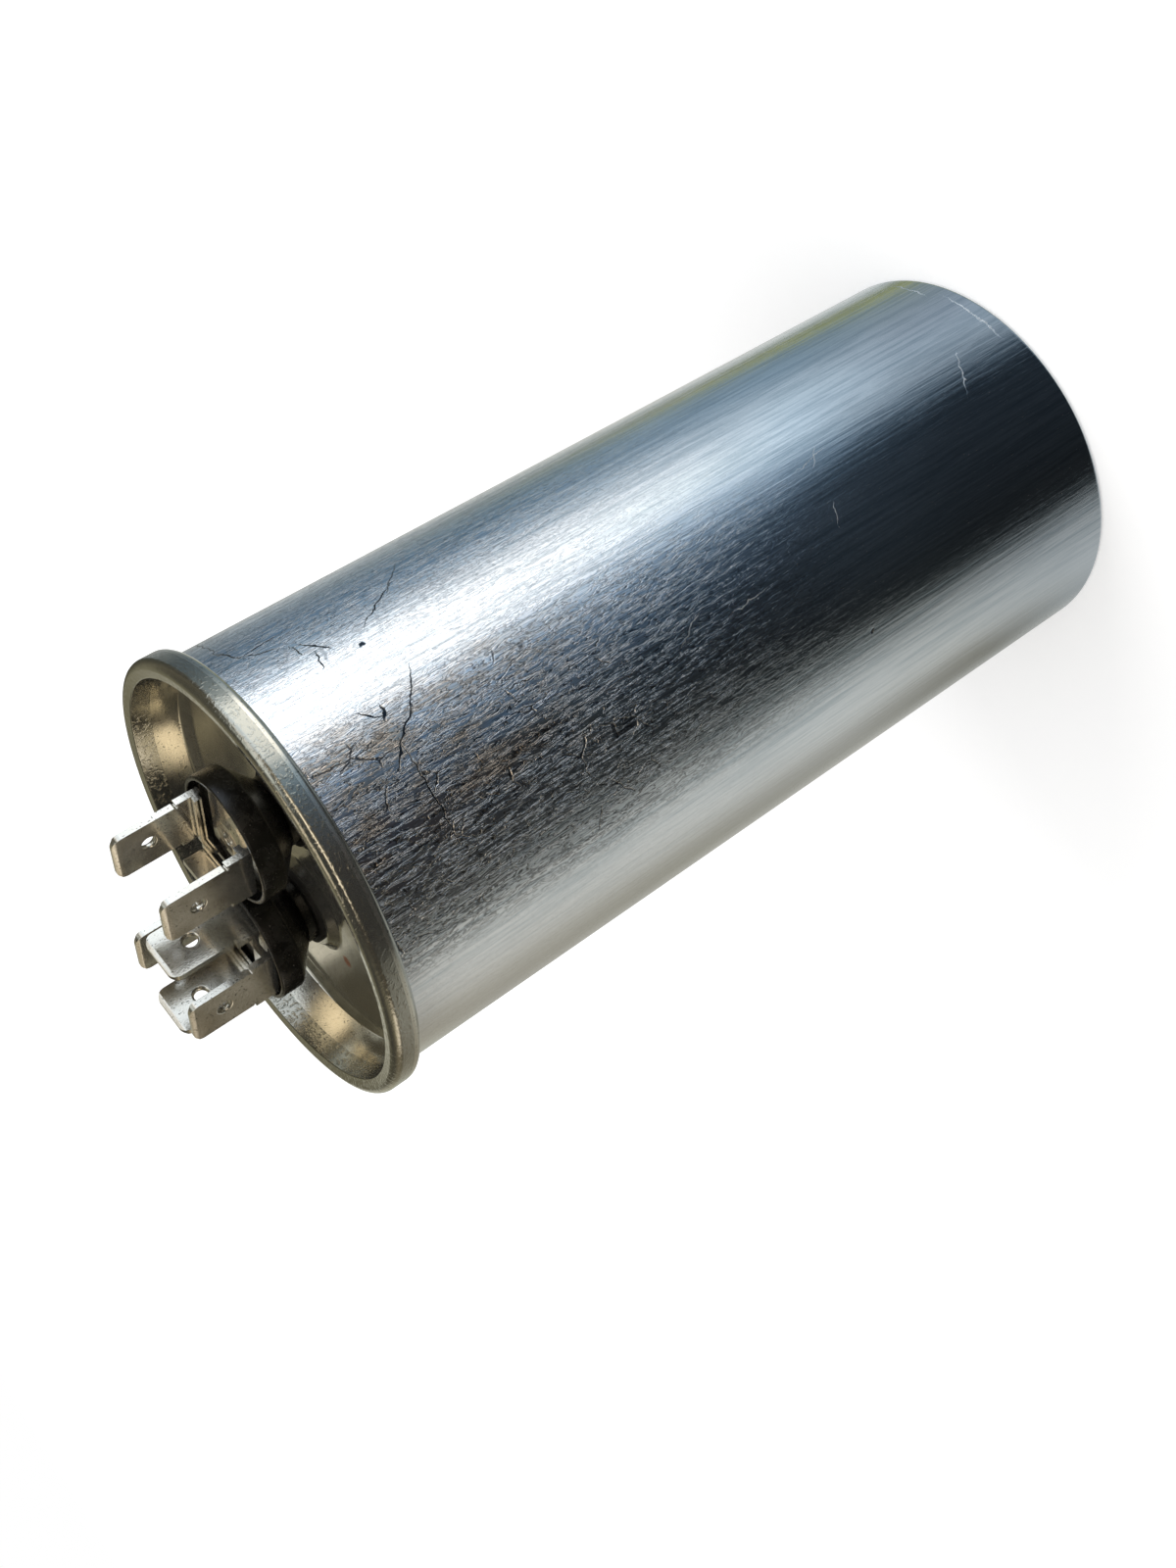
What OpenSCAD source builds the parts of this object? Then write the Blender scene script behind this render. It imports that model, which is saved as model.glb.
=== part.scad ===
// Motor run capacitor: film winding in a drawn aluminium can with a double-seamed lid.
// Origin at the centre of the can's base, +Z towards the terminals. Sizes in millimetres.

/* [Can] */
// Outside diameter of the drawn can
can_d = 50; // [46:1:60]
// Height from the base to the top of the seam
can_h = 110; // [90:1:130]
// Thickness of the can's wall
can_wall = 0.5; // [0.4:0.05:0.7]
// Thickness of the can's base
base_t = 0.7; // [0.5:0.1:1.2]
// Outside radius of the corner round the base
base_round = 1.6; // [1.2:0.1:3]

/* [Lid and seam] */
// Thickness of the tin-plated lid
lid_t = 0.4; // [0.3:0.05:0.5]
// Height of the double seam
seam_h = 3.4; // [3.2:0.1:4]
// Play between the folded layers of the seam
seam_play = 0.05; // [0.03:0.01:0.1]
// How far the seaming roll presses the can's wall in behind the seam
seam_press = 0.3; // [0.1:0.05:0.5]
// Thickness of the sealing compound at the top of the seam
compound_t = 0.3; // [0.2:0.05:0.5]
// Depth of the lid's flat panel below the top of the seam
recess_depth = 6.3; // [5:0.1:8]
// Height of the sloped ledge round the panel
ledge_h = 0.7; // [0.4:0.1:1.2]
// Width of the sloped ledge round the panel
ledge_w = 1.15; // [0.6:0.05:2]
// Height of the raised boss under each terminal
boss_h = 0.9; // [0.5:0.1:1.2]
// Radius of the boss where it meets the panel
boss_r = 6.4; // [5.8:0.1:7]
// Radius of the flat top of the boss
boss_top_r = 5.2; // [4.9:0.1:5.5]

/* [Insulator cups] */
// Distance between the centres of the two terminals
terminal_pitch = 17.1; // [16.5:0.1:20]
// Outside radius of a cup at its rim
cup_r = 7.57; // [7.4:0.01:8]
// Thickness of the cup's upstanding wall
cup_wall = 0.5; // [0.4:0.05:0.6]
// Height of the cup's rim above the seam
cup_rise = 1.95; // [1.5:0.05:3]
// Height of the straight part of the cup's wall
cup_straight = 2.75; // [2.2:0.05:3.5]
// Height of the cone between the wall and the neck
cup_cone = 2.95; // [2.5:0.05:3.2]
// Radius of the cup's neck
neck_r = 4.1; // [3.8:0.1:4.5]
// Depth of the cup's floor below its rim
cup_depth = 1.55; // [1.2:0.05:2]
// Radius of the spigot that passes through the lid
spigot_r = 3.2; // [2.9:0.1:3.4]

/* [Gaskets and inner insulators] */
// Thickness of the rubber gasket once it is pressed
gasket_t = 0.5; // [0.3:0.1:0.7]
// Radius of the rubber gasket
gasket_r = 4.7; // [4.4:0.1:4.9]
// Thickness of the inner insulator below the lid
inner_t = 1.6; // [1.2:0.1:2]
// Radius of the inner insulator
inner_r = 4.6; // [4.2:0.1:4.8]

/* [Terminals] */
// Thickness of the terminal sheet
tab_t = 0.8; // [0.7:0.05:0.9]
// Width of a push-on tab
tab_w = 6.35; // [6:0.05:6.6]
// Height of a tab from its shoulder to its tip
tab_len = 7.55; // [7:0.05:8.5]
// Height of the wide root from the plate to the shoulder
root_h = 3.3; // [2.8:0.1:3.6]
// How far the root stands out past the tab on each side
shoulder = 0.4; // [0.2:0.05:0.5]
// Radius of the tab's corners at its tip
tip_round = 1.2; // [0.8:0.1:1.5]
// Distance from the tab's tip to the centre of its locking hole
hole_drop = 3.95; // [3.5:0.05:4.5]
// Diameter of the locking hole
hole_d = 1.6; // [1.4:0.05:2]
// Width of the bevel round each end of the locking hole
hole_bevel = 0.25; // [0.1:0.05:0.3]
// How far each face is coined back at a tab's tip
tip_bevel = 0.2; // [0.1:0.05:0.3]
// Length of the coined slope at a tab's tip
tip_slope = 0.8; // [0.4:0.1:1.2]
// Radius of the relief notch between a tab's edge and its shoulder
notch_r = 0.25; // [0.15:0.05:0.4]
// Radius inside each bend
bend_r = 0.4; // [0.3:0.05:0.6]
// Distance from the centre to the middle of a tab on the two-tab terminal
pair_offset = 4.8; // [4.6:0.05:5.2]
// Distance from the centre to the low wall of the two-tab terminal
wall_offset = 5; // [4.6:0.05:5.2]
// Height of that low wall above the plate
wall_h = 4; // [3:0.1:5]
// Length of the slot at the foot of the low wall
slot_w = 5; // [3:0.1:5.4]
// Height of that slot
slot_h = 1.2; // [0.8:0.1:1.6]
// Distance from the centre to the middle of a tab on the four-tab terminal
crown_offset = 5.45; // [5.2:0.05:5.5]
// Turn of both terminals about their rivets
tab_turn = -4; // [-20:1:20]

/* [Rivets and tags] */
// Diameter of the rivet's shank
rivet_d = 4; // [3.4:0.1:4.2]
// Diameter of the rivet's spread head on the plate
rivet_spread_d = 5.6; // [5.2:0.1:6.4]
// Thickness of the spread head
rivet_spread_t = 0.3; // [0.2:0.05:0.5]
// Diameter of the rivet's formed head under the lid
rivet_head_d = 6.4; // [6:0.1:7]
// Thickness of the formed head
rivet_head_t = 0.8; // [0.6:0.1:1.2]
// Diameter of the blind hole in the rivet's top
rivet_bore_d = 2.2; // [1.6:0.1:2.6]
// Depth of that blind hole
rivet_bore = 1.6; // [1:0.1:3]
// Thickness of the solder tag
tag_t = 0.4; // [0.3:0.05:0.6]
// Width of the solder tag's tongue
tag_w = 3; // [2.4:0.1:3.6]
// Reach of the solder tag's tongue from the rivet's centre
tag_reach = 6.6; // [6:0.1:7.5]

/* [Winding] */
// Width of the oil gap between the wrapped winding and the can's wall
oil_gap = 2.5; // [1.8:0.1:6]
// Height left for the leads between the top disc and the solder tags
lead_room = 9.1; // [5:0.1:30]
// Outside diameter of the plastic core
core_d = 8; // [7:0.5:12]
// Wall of the plastic core
core_wall = 1; // [0.8:0.1:1.5]
// Thickness of the sprayed zinc on each end
spray_t = 0.6; // [0.4:0.1:1]
// Band of film left bare round each sprayed end
spray_margin = 0.6; // [0.4:0.1:1.5]
// Thickness of the insulating wrap
wrap_t = 0.45; // [0.3:0.05:0.6]
// How far the wrap runs past each end
wrap_over = 2.2; // [2.1:0.1:3]

/* [Spacers and leads] */
// Thickness of the bottom cup's floor and the top disc
spacer_t = 1; // [0.8:0.1:1.5]
// Height of the bottom cup's centring wall
spacer_h = 9; // [6:0.5:14]
// Straight length left between the lower lead's bend and the solder above it
lead_gap = 0.2; // [0.1:0.1:1]
// Number of ribs that hold the winding off the cup's floor
rib_count = 6; // [3:1:8]
// Diameter of an insulated lead
lead_d = 1.8; // [1.4:0.1:2.2]
// Wall of the sleeve over the lead inside the core
sleeve_t = 0.5; // [0.3:0.1:0.7]
// Diameter of a solder blob
solder_d = 3.6; // [3:0.1:4.4]
// Height of a solder blob
solder_h = 1.2; // [0.8:0.1:1.4]

/* [Hidden] */

$fn = 96;
eps = 0.01;
fit = 0.05;                    // play between pieces that slide together on assembly
cut = 1;                       // how far a cutting shape runs past the face it cuts

can_r = can_d / 2;
can_in = can_r - can_wall;
seam_foot = can_h - seam_h;

// Radii of the five layers of the double seam, from the inside out.
press_in = can_in - seam_press;
chuck_r = press_in - seam_play - lid_t;
cover_hook_r = can_r + seam_play;
body_hook_r = cover_hook_r + lid_t + seam_play;
seam_wall_r = body_hook_r + can_wall + seam_play;
seam_r = seam_wall_r + lid_t;

// Arcs that turn the layers over at the top and at the foot of the seam.
top_arc_r = (seam_r - chuck_r) / 2;
top_arc_c = (seam_r + chuck_r) / 2;
top_arc_z = can_h - top_arc_r;
hook_arc_c = (press_in + can_wall + body_hook_r) / 2;
hook_arc_r = (body_hook_r + can_wall - press_in) / 2;
hook_arc_z = can_h - lid_t - compound_t - hook_arc_r;
foot_arc_r = (seam_r - cover_hook_r) / 2;
foot_arc_c = (seam_r + cover_hook_r) / 2;
foot_arc_z = seam_foot + foot_arc_r;

// Heights of the stack on each terminal's axis.
panel_z = can_h - recess_depth;
boss_z = panel_z + boss_h;
cup_z = boss_z + gasket_t;
cup_top = can_h + cup_rise;
cup_floor = cup_top - cup_depth;
plate_top = cup_floor + tab_t;
straight_z = cup_top - cup_straight;
cone_z = straight_z - cup_cone;
inner_z = boss_z - lid_t - inner_t;
tag_z = inner_z - tag_t;
rivet_z = tag_z - rivet_head_t;
shoulder_z = plate_top + root_h;
tip_z = shoulder_z + tab_len;

rivet_r = rivet_d / 2;
bore_r = rivet_r + fit;
root_w = tab_w + 2 * shoulder;

lead_r = lead_d / 2;
lead_bend = 0.65 * lead_d;     // radius of a lead's bends at its middle

// Heights inside the can, from the base up.
spacer_z = base_t + fit;
rib_h = fit + lead_r + lead_bend + lead_gap + solder_h;
winding_z = spacer_z + spacer_t + rib_h + spray_t;
disc_z = tag_z - lead_room - spacer_t;
wrap_z = winding_z - wrap_over;
wrap_top = disc_z - fit;
winding_top = wrap_top - wrap_over;
winding_h = winding_top - winding_z;

// Radii inside the can, from the wall inwards.
wrap_r = can_in - oil_gap;
wrap_in = wrap_r - wrap_t;
winding_d = 2 * (wrap_in - fit);
winding_r = winding_d / 2;
core_r = core_d / 2;
solder_foot = solder_h / 4;    // height of a lead's end above the spray
tag_end = terminal_pitch / 2 + tag_reach - tag_w / 2;

// A ring sector in the profile plane, from angle a0 to a1 about its own centre.
module arc_band(r_in, r_out, a0, a1) {
    reach = 2 * r_out;
    intersection() {
        difference() {
            circle(r = r_out);
            circle(r = r_in);
        }
        polygon([[0, 0], for (i = [0:4]) reach * [cos(a0 + i * (a1 - a0) / 4), sin(a0 + i * (a1 - a0) / 4)]]);
    }
}

// An upright wall in the profile plane.
module wall_2d(r, z0, z1, t) {
    translate([r, z0]) square([t, z1 - z0]);
}

// A flat ring standing on z = 0.
module ring(r_out, r_in, h) {
    difference() {
        cylinder(h = h, r = r_out);
        translate([0, 0, -cut]) cylinder(h = h + 2 * cut, r = r_in);
    }
}

// Direction of the run from point a to point b of a flat route.
function heading(a, b) = atan2(b[1] - a[1], b[0] - a[0]);

// A round wire in the XZ plane through a list of [x, z] points, with each square corner bent to a radius.
module bent_wire(points, r, bend) {
    last = len(points) - 1;
    runs = [for (i = [0:last - 1]) heading(points[i], points[i + 1])];
    rotate([90, 0, 0]) for (i = [0:last - 1]) {
        start = i == 0 ? 0 : bend;
        end = i == last - 1 ? 0 : bend;
        translate(points[i]) rotate([0, 0, runs[i]]) translate([start, 0, 0]) rotate([0, 90, 0])
            cylinder(h = norm(points[i + 1] - points[i]) - start - end, r = r, $fn = 32);
        if (i > 0) {
            side = sign(runs[i] - runs[i - 1]);
            translate(points[i]) rotate([0, 0, runs[i - 1]]) translate([-bend, side * bend, 0])
                rotate([0, 0, side > 0 ? -90 : 0])
                    rotate_extrude(angle = 90) translate([bend, 0]) circle(r = r, $fn = 32);
        }
    }
}

// Children at one terminal's axis: side 1 holds the two-tab terminal, side -1 the four-tab one.
module at_terminal(side) {
    translate([side * terminal_pitch / 2, 0, 0]) children();
}

module can() {
    color("lightsteelblue") rotate_extrude($fn = 180) {
        square([can_r - base_round, base_t]);
        translate([can_r - base_round, base_round]) arc_band(base_round - can_wall, base_round, -90, 0);
        intersection() {
            translate([can_r - base_round, base_round]) circle(r = base_round);
            translate([can_r - base_round - eps, 0]) square([base_round, base_t]);
        }
        wall_2d(can_in, base_round, seam_foot, can_wall);
        wall_2d(press_in, seam_foot - can_wall / 2, hook_arc_z, can_wall);
        translate([hook_arc_c, hook_arc_z]) arc_band(hook_arc_r - can_wall, hook_arc_r, 0, 180);
        wall_2d(body_hook_r, foot_arc_z + fit, hook_arc_z, can_wall);
    }
}

// Lid sheet from the axis outwards: panel, ledge, chuck wall, seam top, seam wall and cover hook.
module lid_profile() {
    panel_r = chuck_r - ledge_w;
    square_z = panel_z - lid_t;
    translate([0, square_z]) square([panel_r, lid_t]);
    polygon([
        [panel_r - eps, panel_z],
        [chuck_r, panel_z + ledge_h],
        [chuck_r + lid_t, panel_z + ledge_h],
        [chuck_r + lid_t, panel_z + ledge_h - lid_t / 2],
        [panel_r + lid_t / 3, square_z],
        [panel_r - eps, square_z],
    ]);
    wall_2d(chuck_r, panel_z + ledge_h - eps, top_arc_z, lid_t);
    translate([top_arc_c, top_arc_z]) arc_band(top_arc_r - lid_t, top_arc_r, 0, 180);
    wall_2d(seam_wall_r, foot_arc_z, top_arc_z, lid_t);
    translate([foot_arc_c, foot_arc_z]) arc_band(foot_arc_r - lid_t, foot_arc_r, 180, 360);
    wall_2d(cover_hook_r, foot_arc_z, hook_arc_z - fit, lid_t);
}

module lid() {
    color("silver") difference() {
        union() {
            rotate_extrude($fn = 180) lid_profile();
            for (side = [-1, 1]) at_terminal(side)
                translate([0, 0, panel_z - eps]) cylinder(h = boss_h + eps, r1 = boss_r, r2 = boss_top_r);
        }
        for (side = [-1, 1]) at_terminal(side) {
            translate([0, 0, panel_z - lid_t - eps])
                cylinder(h = boss_h + eps, r1 = boss_r - lid_t / 2, r2 = boss_top_r - lid_t / 2);
            translate([0, 0, panel_z]) cylinder(h = boss_h + cut, r = spigot_r + fit);
        }
    }
}

module seam_compound() {
    half_w = 0.7 * hook_arc_r;
    color("dimgray") rotate_extrude($fn = 180) intersection() {
        difference() {
            translate([top_arc_c, top_arc_z]) circle(r = top_arc_r - lid_t - eps);
            translate([hook_arc_c, hook_arc_z]) circle(r = hook_arc_r + eps);
        }
        translate([hook_arc_c - half_w, hook_arc_z]) square([2 * half_w, can_h - hook_arc_z]);
    }
}

module insulator_cup() {
    color([0.07, 0.07, 0.065]) rotate_extrude() difference() {
        polygon([
            [0, cup_top],
            [cup_r, cup_top],
            [cup_r, straight_z],
            [neck_r, cone_z],
            [neck_r, cup_z],
            [spigot_r, cup_z],
            [spigot_r, boss_z - lid_t],
            [0, boss_z - lid_t],
        ]);
        translate([0, cup_floor]) square([cup_r - cup_wall, cup_depth + cut]);
        translate([0, boss_z - lid_t - cut]) square([bore_r, can_h]);
    }
}

module cup_two_tab() {
    at_terminal(1) insulator_cup();
}

module cup_four_tab() {
    at_terminal(-1) insulator_cup();
}

// Outline of one upstanding tab, from the top of its bend: root, notched shoulders and rounded tip.
module tab_outline() {
    rise = tip_z - plate_top - bend_r;
    difference() {
        union() {
            translate([-root_w / 2, 0]) square([root_w, root_h - bend_r]);
            translate([-tab_w / 2, 0]) square([tab_w, rise - tip_round]);
            translate([tip_round - tab_w / 2, 0]) square([tab_w - 2 * tip_round, rise]);
            for (x = [-1, 1]) translate([x * (tab_w / 2 - tip_round), rise - tip_round])
                circle(r = tip_round, $fn = 32);
        }
        for (x = [-1, 1]) translate([x * tab_w / 2, root_h - bend_r]) circle(r = notch_r, $fn = 24);
    }
}

// Wedge that coins one face of a tab back towards its tip; side is 1 or -1.
module tip_wedge(side) {
    face = tab_t / 2;
    rotate([90, 0, 90]) linear_extrude(root_w, center = true) polygon([
        [side * face, -tip_slope],
        [side * (face + cut), -tip_slope],
        [side * (face + cut), cut],
        [side * (face - tip_bevel * (1 + cut / tip_slope)), cut],
    ]);
}

// A quarter bend that joins the plate to an upstanding wall whose middle lies at y = offset.
module plate_bend(offset, width) {
    foot = offset - tab_t / 2 - bend_r;
    translate([-width / 2, foot, plate_top + bend_r])
        rotate([90, 0, 90])
            linear_extrude(width) arc_band(bend_r, bend_r + tab_t, -90, 0);
}

// One tab with its bend, standing on the +Y side of the plate.
module tab(offset) {
    plate_bend(offset, root_w);
    difference() {
        translate([0, offset + tab_t / 2, plate_top + bend_r - eps])
            rotate([90, 0, 0]) linear_extrude(tab_t) tab_outline();
        translate([0, offset, tip_z - hole_drop]) rotate([90, 0, 0]) {
            cylinder(h = tab_t + cut, r = hole_d / 2, center = true, $fn = 32);
            for (flip = [0, 180]) rotate([flip, 0, 0]) translate([0, 0, tab_t / 2 - hole_bevel])
                cylinder(h = hole_bevel + eps, r1 = hole_d / 2, r2 = hole_d / 2 + hole_bevel, $fn = 32);
        }
        translate([0, offset, tip_z]) for (side = [-1, 1]) tip_wedge(side);
    }
}

// The low slotted wall of the two-tab terminal, standing on its +Y side.
module low_wall() {
    difference() {
        union() {
            plate_bend(wall_offset, root_w);
            translate([-root_w / 2, wall_offset - tab_t / 2, plate_top + bend_r - eps])
                cube([root_w, tab_t, wall_h - bend_r + eps]);
        }
        translate([-slot_w / 2, wall_offset - tab_t / 2 - bend_r / 2, plate_top + eps])
            cube([slot_w, 2 * tab_t, slot_h]);
    }
}

// Flat plate that reaches each side's bend; the rivet's shank passes through it.
module plate(reach_x0, reach_x1, reach_y) {
    difference() {
        translate([0, 0, cup_floor]) {
            translate([-root_w / 2, -reach_y, 0]) cube([root_w, 2 * reach_y, tab_t]);
            translate([-reach_x0, -root_w / 2, 0]) cube([reach_x0 + reach_x1, root_w, tab_t]);
        }
        translate([0, 0, cup_floor - cut]) cylinder(h = tab_t + 2 * cut, r = bore_r);
    }
}

module terminal_two_tab() {
    flat_y = pair_offset - tab_t / 2 - bend_r + eps;
    flat_x = wall_offset - tab_t / 2 - bend_r + eps;
    color([0.55, 0.53, 0.49]) at_terminal(1) rotate([0, 0, tab_turn]) {
        plate(flat_x, wall_offset, flat_y);
        for (turn = [0, 180]) rotate([0, 0, turn]) tab(pair_offset);
        rotate([0, 0, 90]) low_wall();
    }
}

module terminal_four_tab() {
    flat = crown_offset - tab_t / 2 - bend_r + eps;
    color([0.55, 0.53, 0.49]) at_terminal(-1) rotate([0, 0, tab_turn]) {
        plate(flat, flat, flat);
        for (turn = [0:90:270]) rotate([0, 0, turn]) tab(crown_offset);
    }
}

module rivets() {
    color([0.62, 0.6, 0.56]) for (side = [-1, 1]) at_terminal(side) difference() {
        union() {
            translate([0, 0, rivet_z]) cylinder(h = rivet_head_t, r = rivet_head_d / 2);
            translate([0, 0, rivet_z]) cylinder(h = plate_top - rivet_z + eps, r = rivet_r);
            translate([0, 0, plate_top]) cylinder(h = rivet_spread_t, r1 = rivet_spread_d / 2, r2 = rivet_r);
        }
        translate([0, 0, plate_top + rivet_spread_t - rivet_bore])
            cylinder(h = rivet_bore + cut, d = rivet_bore_d);
    }
}

module gasket() {
    color([0.2, 0.19, 0.18]) translate([0, 0, boss_z]) ring(gasket_r, spigot_r + fit, gasket_t);
}

module gasket_two_tab() {
    at_terminal(1) gasket();
}

module gasket_four_tab() {
    at_terminal(-1) gasket();
}

module inner_insulator() {
    color([0.75, 0.72, 0.66]) translate([0, 0, inner_z]) ring(inner_r, bore_r, inner_t);
}

module inner_insulator_two_tab() {
    at_terminal(1) inner_insulator();
}

module inner_insulator_four_tab() {
    at_terminal(-1) inner_insulator();
}

// Ring on the rivet with a tongue that runs outwards, away from the can's axis.
module solder_tag() {
    color([0.78, 0.72, 0.55]) difference() {
        translate([0, 0, tag_z]) {
            cylinder(h = tag_t, r = rivet_head_d / 2);
            translate([0, -tag_w / 2, 0]) cube([tag_reach - tag_w / 2, tag_w, tag_t]);
            translate([tag_reach - tag_w / 2, 0, 0]) cylinder(h = tag_t, d = tag_w);
        }
        translate([0, 0, tag_z - cut]) cylinder(h = tag_t + 2 * cut, r = bore_r);
    }
}

module solder_tag_two_tab() {
    at_terminal(1) solder_tag();
}

module solder_tag_four_tab() {
    mirror([1, 0, 0]) at_terminal(1) solder_tag();
}

// Lead from the top spray straight up through the disc to the two-tab terminal's tag.
module lead_top() {
    foot = winding_top + spray_t + solder_foot;
    color([0.75, 0.2, 0.15]) translate([tag_end, 0, foot]) cylinder(h = tag_z - foot, r = lead_r, $fn = 32);
}

// Lead from the bottom spray in between two ribs, up the core, across the disc and up to the four-tab tag.
module lead_core() {
    low = spacer_z + spacer_t + lead_r + fit;
    high = disc_z + spacer_t + lead_d;
    color([0.2, 0.2, 0.22]) bent_wire([
        [-tag_end, winding_z - spray_t - solder_foot],
        [-tag_end, low],
        [0, low],
        [0, high],
        [-tag_end, high],
        [-tag_end, tag_z],
    ], lead_r, lead_bend);
}

// Insulating sleeve over the lead's run through the core.
module lead_sleeve() {
    color([0.85, 0.82, 0.7]) translate([0, 0, winding_z - spray_t])
        ring(lead_r + fit + sleeve_t, lead_r + fit, winding_h + 2 * spray_t);
}

module winding() {
    color([0.8, 0.8, 0.78]) translate([0, 0, winding_z]) ring(winding_r, core_r + fit, winding_h);
}

module winding_core() {
    color([0.92, 0.9, 0.84])
        translate([0, 0, winding_z - spray_t]) ring(core_r, core_r - core_wall, winding_h + 2 * spray_t);
}

module winding_wrap() {
    color([0.86, 0.84, 0.76]) translate([0, 0, wrap_z]) ring(wrap_r, wrap_in, wrap_top - wrap_z);
}

module end_spray() {
    color([0.6, 0.61, 0.63]) ring(winding_r - spray_margin, core_r + fit, spray_t);
}

module end_spray_top() {
    translate([0, 0, winding_top]) end_spray();
}

module end_spray_bottom() {
    translate([0, 0, winding_z - spray_t]) end_spray();
}

// A low round blob of solder that holds a lead's end on the spray.
module solder_blob() {
    color([0.7, 0.7, 0.72]) difference() {
        cylinder(h = solder_h, d1 = solder_d, d2 = solder_d - lead_r);
        translate([0, 0, solder_foot]) cylinder(h = solder_h, r = lead_r + eps, $fn = 32);
    }
}

module solder_top() {
    translate([tag_end, 0, winding_top + spray_t]) solder_blob();
}

module solder_bottom() {
    translate([-tag_end, 0, winding_z - spray_t]) mirror([0, 0, 1]) solder_blob();
}

// Moulded cup that centres the winding and keeps its lower end off the can.
module bottom_spacer() {
    wall_in = wrap_r + fit;
    rib_in = core_r + lead_d;
    color([0.9, 0.88, 0.8]) translate([0, 0, spacer_z]) {
        difference() {
            cylinder(h = spacer_h, r1 = can_r - base_round, r2 = can_in - fit);
            translate([0, 0, spacer_t]) cylinder(h = spacer_h, r = wall_in);
        }
        for (i = [0:rib_count - 1]) rotate([0, 0, (i + 0.5) * 360 / rib_count])
            translate([rib_in, -spacer_t / 2, spacer_t - eps])
                cube([winding_r - spray_margin - rib_in, spacer_t, rib_h + eps]);
    }
}

// Disc on the wrap's upper edge, with a turned-down rim and a hole for each lead.
module top_disc() {
    disc_r = can_in - fit;
    color([0.55, 0.42, 0.28]) difference() {
        union() {
            translate([0, 0, disc_z]) cylinder(h = spacer_t, r = disc_r);
            translate([0, 0, disc_z - spacer_h / 2]) ring(disc_r, wrap_r + fit, spacer_h / 2 + eps);
        }
        for (x = [0, tag_end]) translate([x, 0, disc_z - cut])
            cylinder(h = spacer_t + 2 * cut, r = lead_r + fit);
    }
}

can();
lid();
seam_compound();
cup_two_tab();
cup_four_tab();
terminal_two_tab();
terminal_four_tab();
rivets();
gasket_two_tab();
gasket_four_tab();
inner_insulator_two_tab();
inner_insulator_four_tab();
solder_tag_two_tab();
solder_tag_four_tab();
lead_top();
lead_core();
lead_sleeve();
winding();
winding_core();
winding_wrap();
end_spray_top();
end_spray_bottom();
solder_top();
solder_bottom();
bottom_spacer();
top_disc();
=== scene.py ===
"""Motor run capacitor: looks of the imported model. Lengths in the tables are millimetres."""
import math

import bpy
from mathutils import Matrix, Vector


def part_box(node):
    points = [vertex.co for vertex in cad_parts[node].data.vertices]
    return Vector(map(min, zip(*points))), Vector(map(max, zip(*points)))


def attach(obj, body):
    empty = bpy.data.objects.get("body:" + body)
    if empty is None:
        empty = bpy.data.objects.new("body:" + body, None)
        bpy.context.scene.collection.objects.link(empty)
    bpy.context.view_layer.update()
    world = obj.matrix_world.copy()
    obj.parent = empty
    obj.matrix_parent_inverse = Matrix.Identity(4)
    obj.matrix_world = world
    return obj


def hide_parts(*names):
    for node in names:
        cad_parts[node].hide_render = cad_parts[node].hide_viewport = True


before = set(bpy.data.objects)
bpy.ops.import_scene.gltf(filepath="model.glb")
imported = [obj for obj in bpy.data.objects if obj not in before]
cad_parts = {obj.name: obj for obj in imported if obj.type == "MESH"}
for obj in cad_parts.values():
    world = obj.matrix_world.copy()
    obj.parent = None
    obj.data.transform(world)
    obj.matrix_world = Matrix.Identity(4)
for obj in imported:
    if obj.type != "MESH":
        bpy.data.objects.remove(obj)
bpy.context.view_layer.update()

MM = 0.001
MERGE = 0.002            # vertices nearer to each other than this become one
CLOSE = 0.001            # places nearer to each other than this are the same
SMOOTH = math.radians(38)
RING_SLACK = 0.02        # how far a point of a faceted ring may lie off its true circle
ROUND_SEGMENTS = 256     # of the can and the lid


def extent(node):
    """Lowest and highest corner of a CAD node, in millimetres."""
    low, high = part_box(node)
    return low / MM, high / MM


# Places read from the frame.
LID_LOW, LID_HIGH = extent("lid")
CUP_LOW, CUP_HIGH = extent("cup_two_tab")
GASKET_LOW, GASKET_HIGH = extent("gasket_two_tab")
TAB_LOW, TAB_HIGH = extent("terminal_two_tab")
RIVET_LOW, RIVET_HIGH = extent("rivets")
CUP_X = (CUP_LOW.x + CUP_HIGH.x) / 2

# Can, lid and double seam.
CAN_R = 25.0
CAN_WALL = 0.5
BASE_T = 0.7
BASE_ROUND = 0.8         # a tighter corner than the CAD's 1.6, as the can looks
LID_T = 0.4
SEAM_TOP = LID_HIGH.z
SEAM_H = 3.4
SEAM_R = LID_HIGH.x
CHUCK_R = 23.4           # foot of the chuck wall, which leans out to the lip
SEAM_PLAY = 0.05
HOOK_R = CAN_R + SEAM_PLAY
NECK_H = 0.7             # how far the can's edge reaches up behind the seam
LIP_R = 24.4             # inner lip of the seam, where the chuck wall ends
LIP_ROUND = 0.15
LIP_DROP = 0.16          # the top of the seam falls a little from its crest to the lip
CREST_R = 25.45
ROLL_R = 1.0
# The seam above this depth gets fine specks and a painted shade, a darker tone.
ROLLED_H = 2.4           # how far down from its top the seaming roll pressed the seam
PANEL_Z = LID_LOW.z + LID_T
LEDGE_H = 0.7
LEDGE_W = 0.8
LEDGE_ROUND = 0.5
PANEL_ROUND = 0.9        # where the panel turns up into the ledge and the bosses
RIM_FLAT = 0.6           # flat ring left round the panel's edge
BOSS_FLAT = 0.5          # and round the foot of each boss
BOSS_Z = GASKET_LOW.z
BOSS_R = 6.4
BOSS_TOP_R = 5.2
BOSS_ROUND = 0.7

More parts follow.
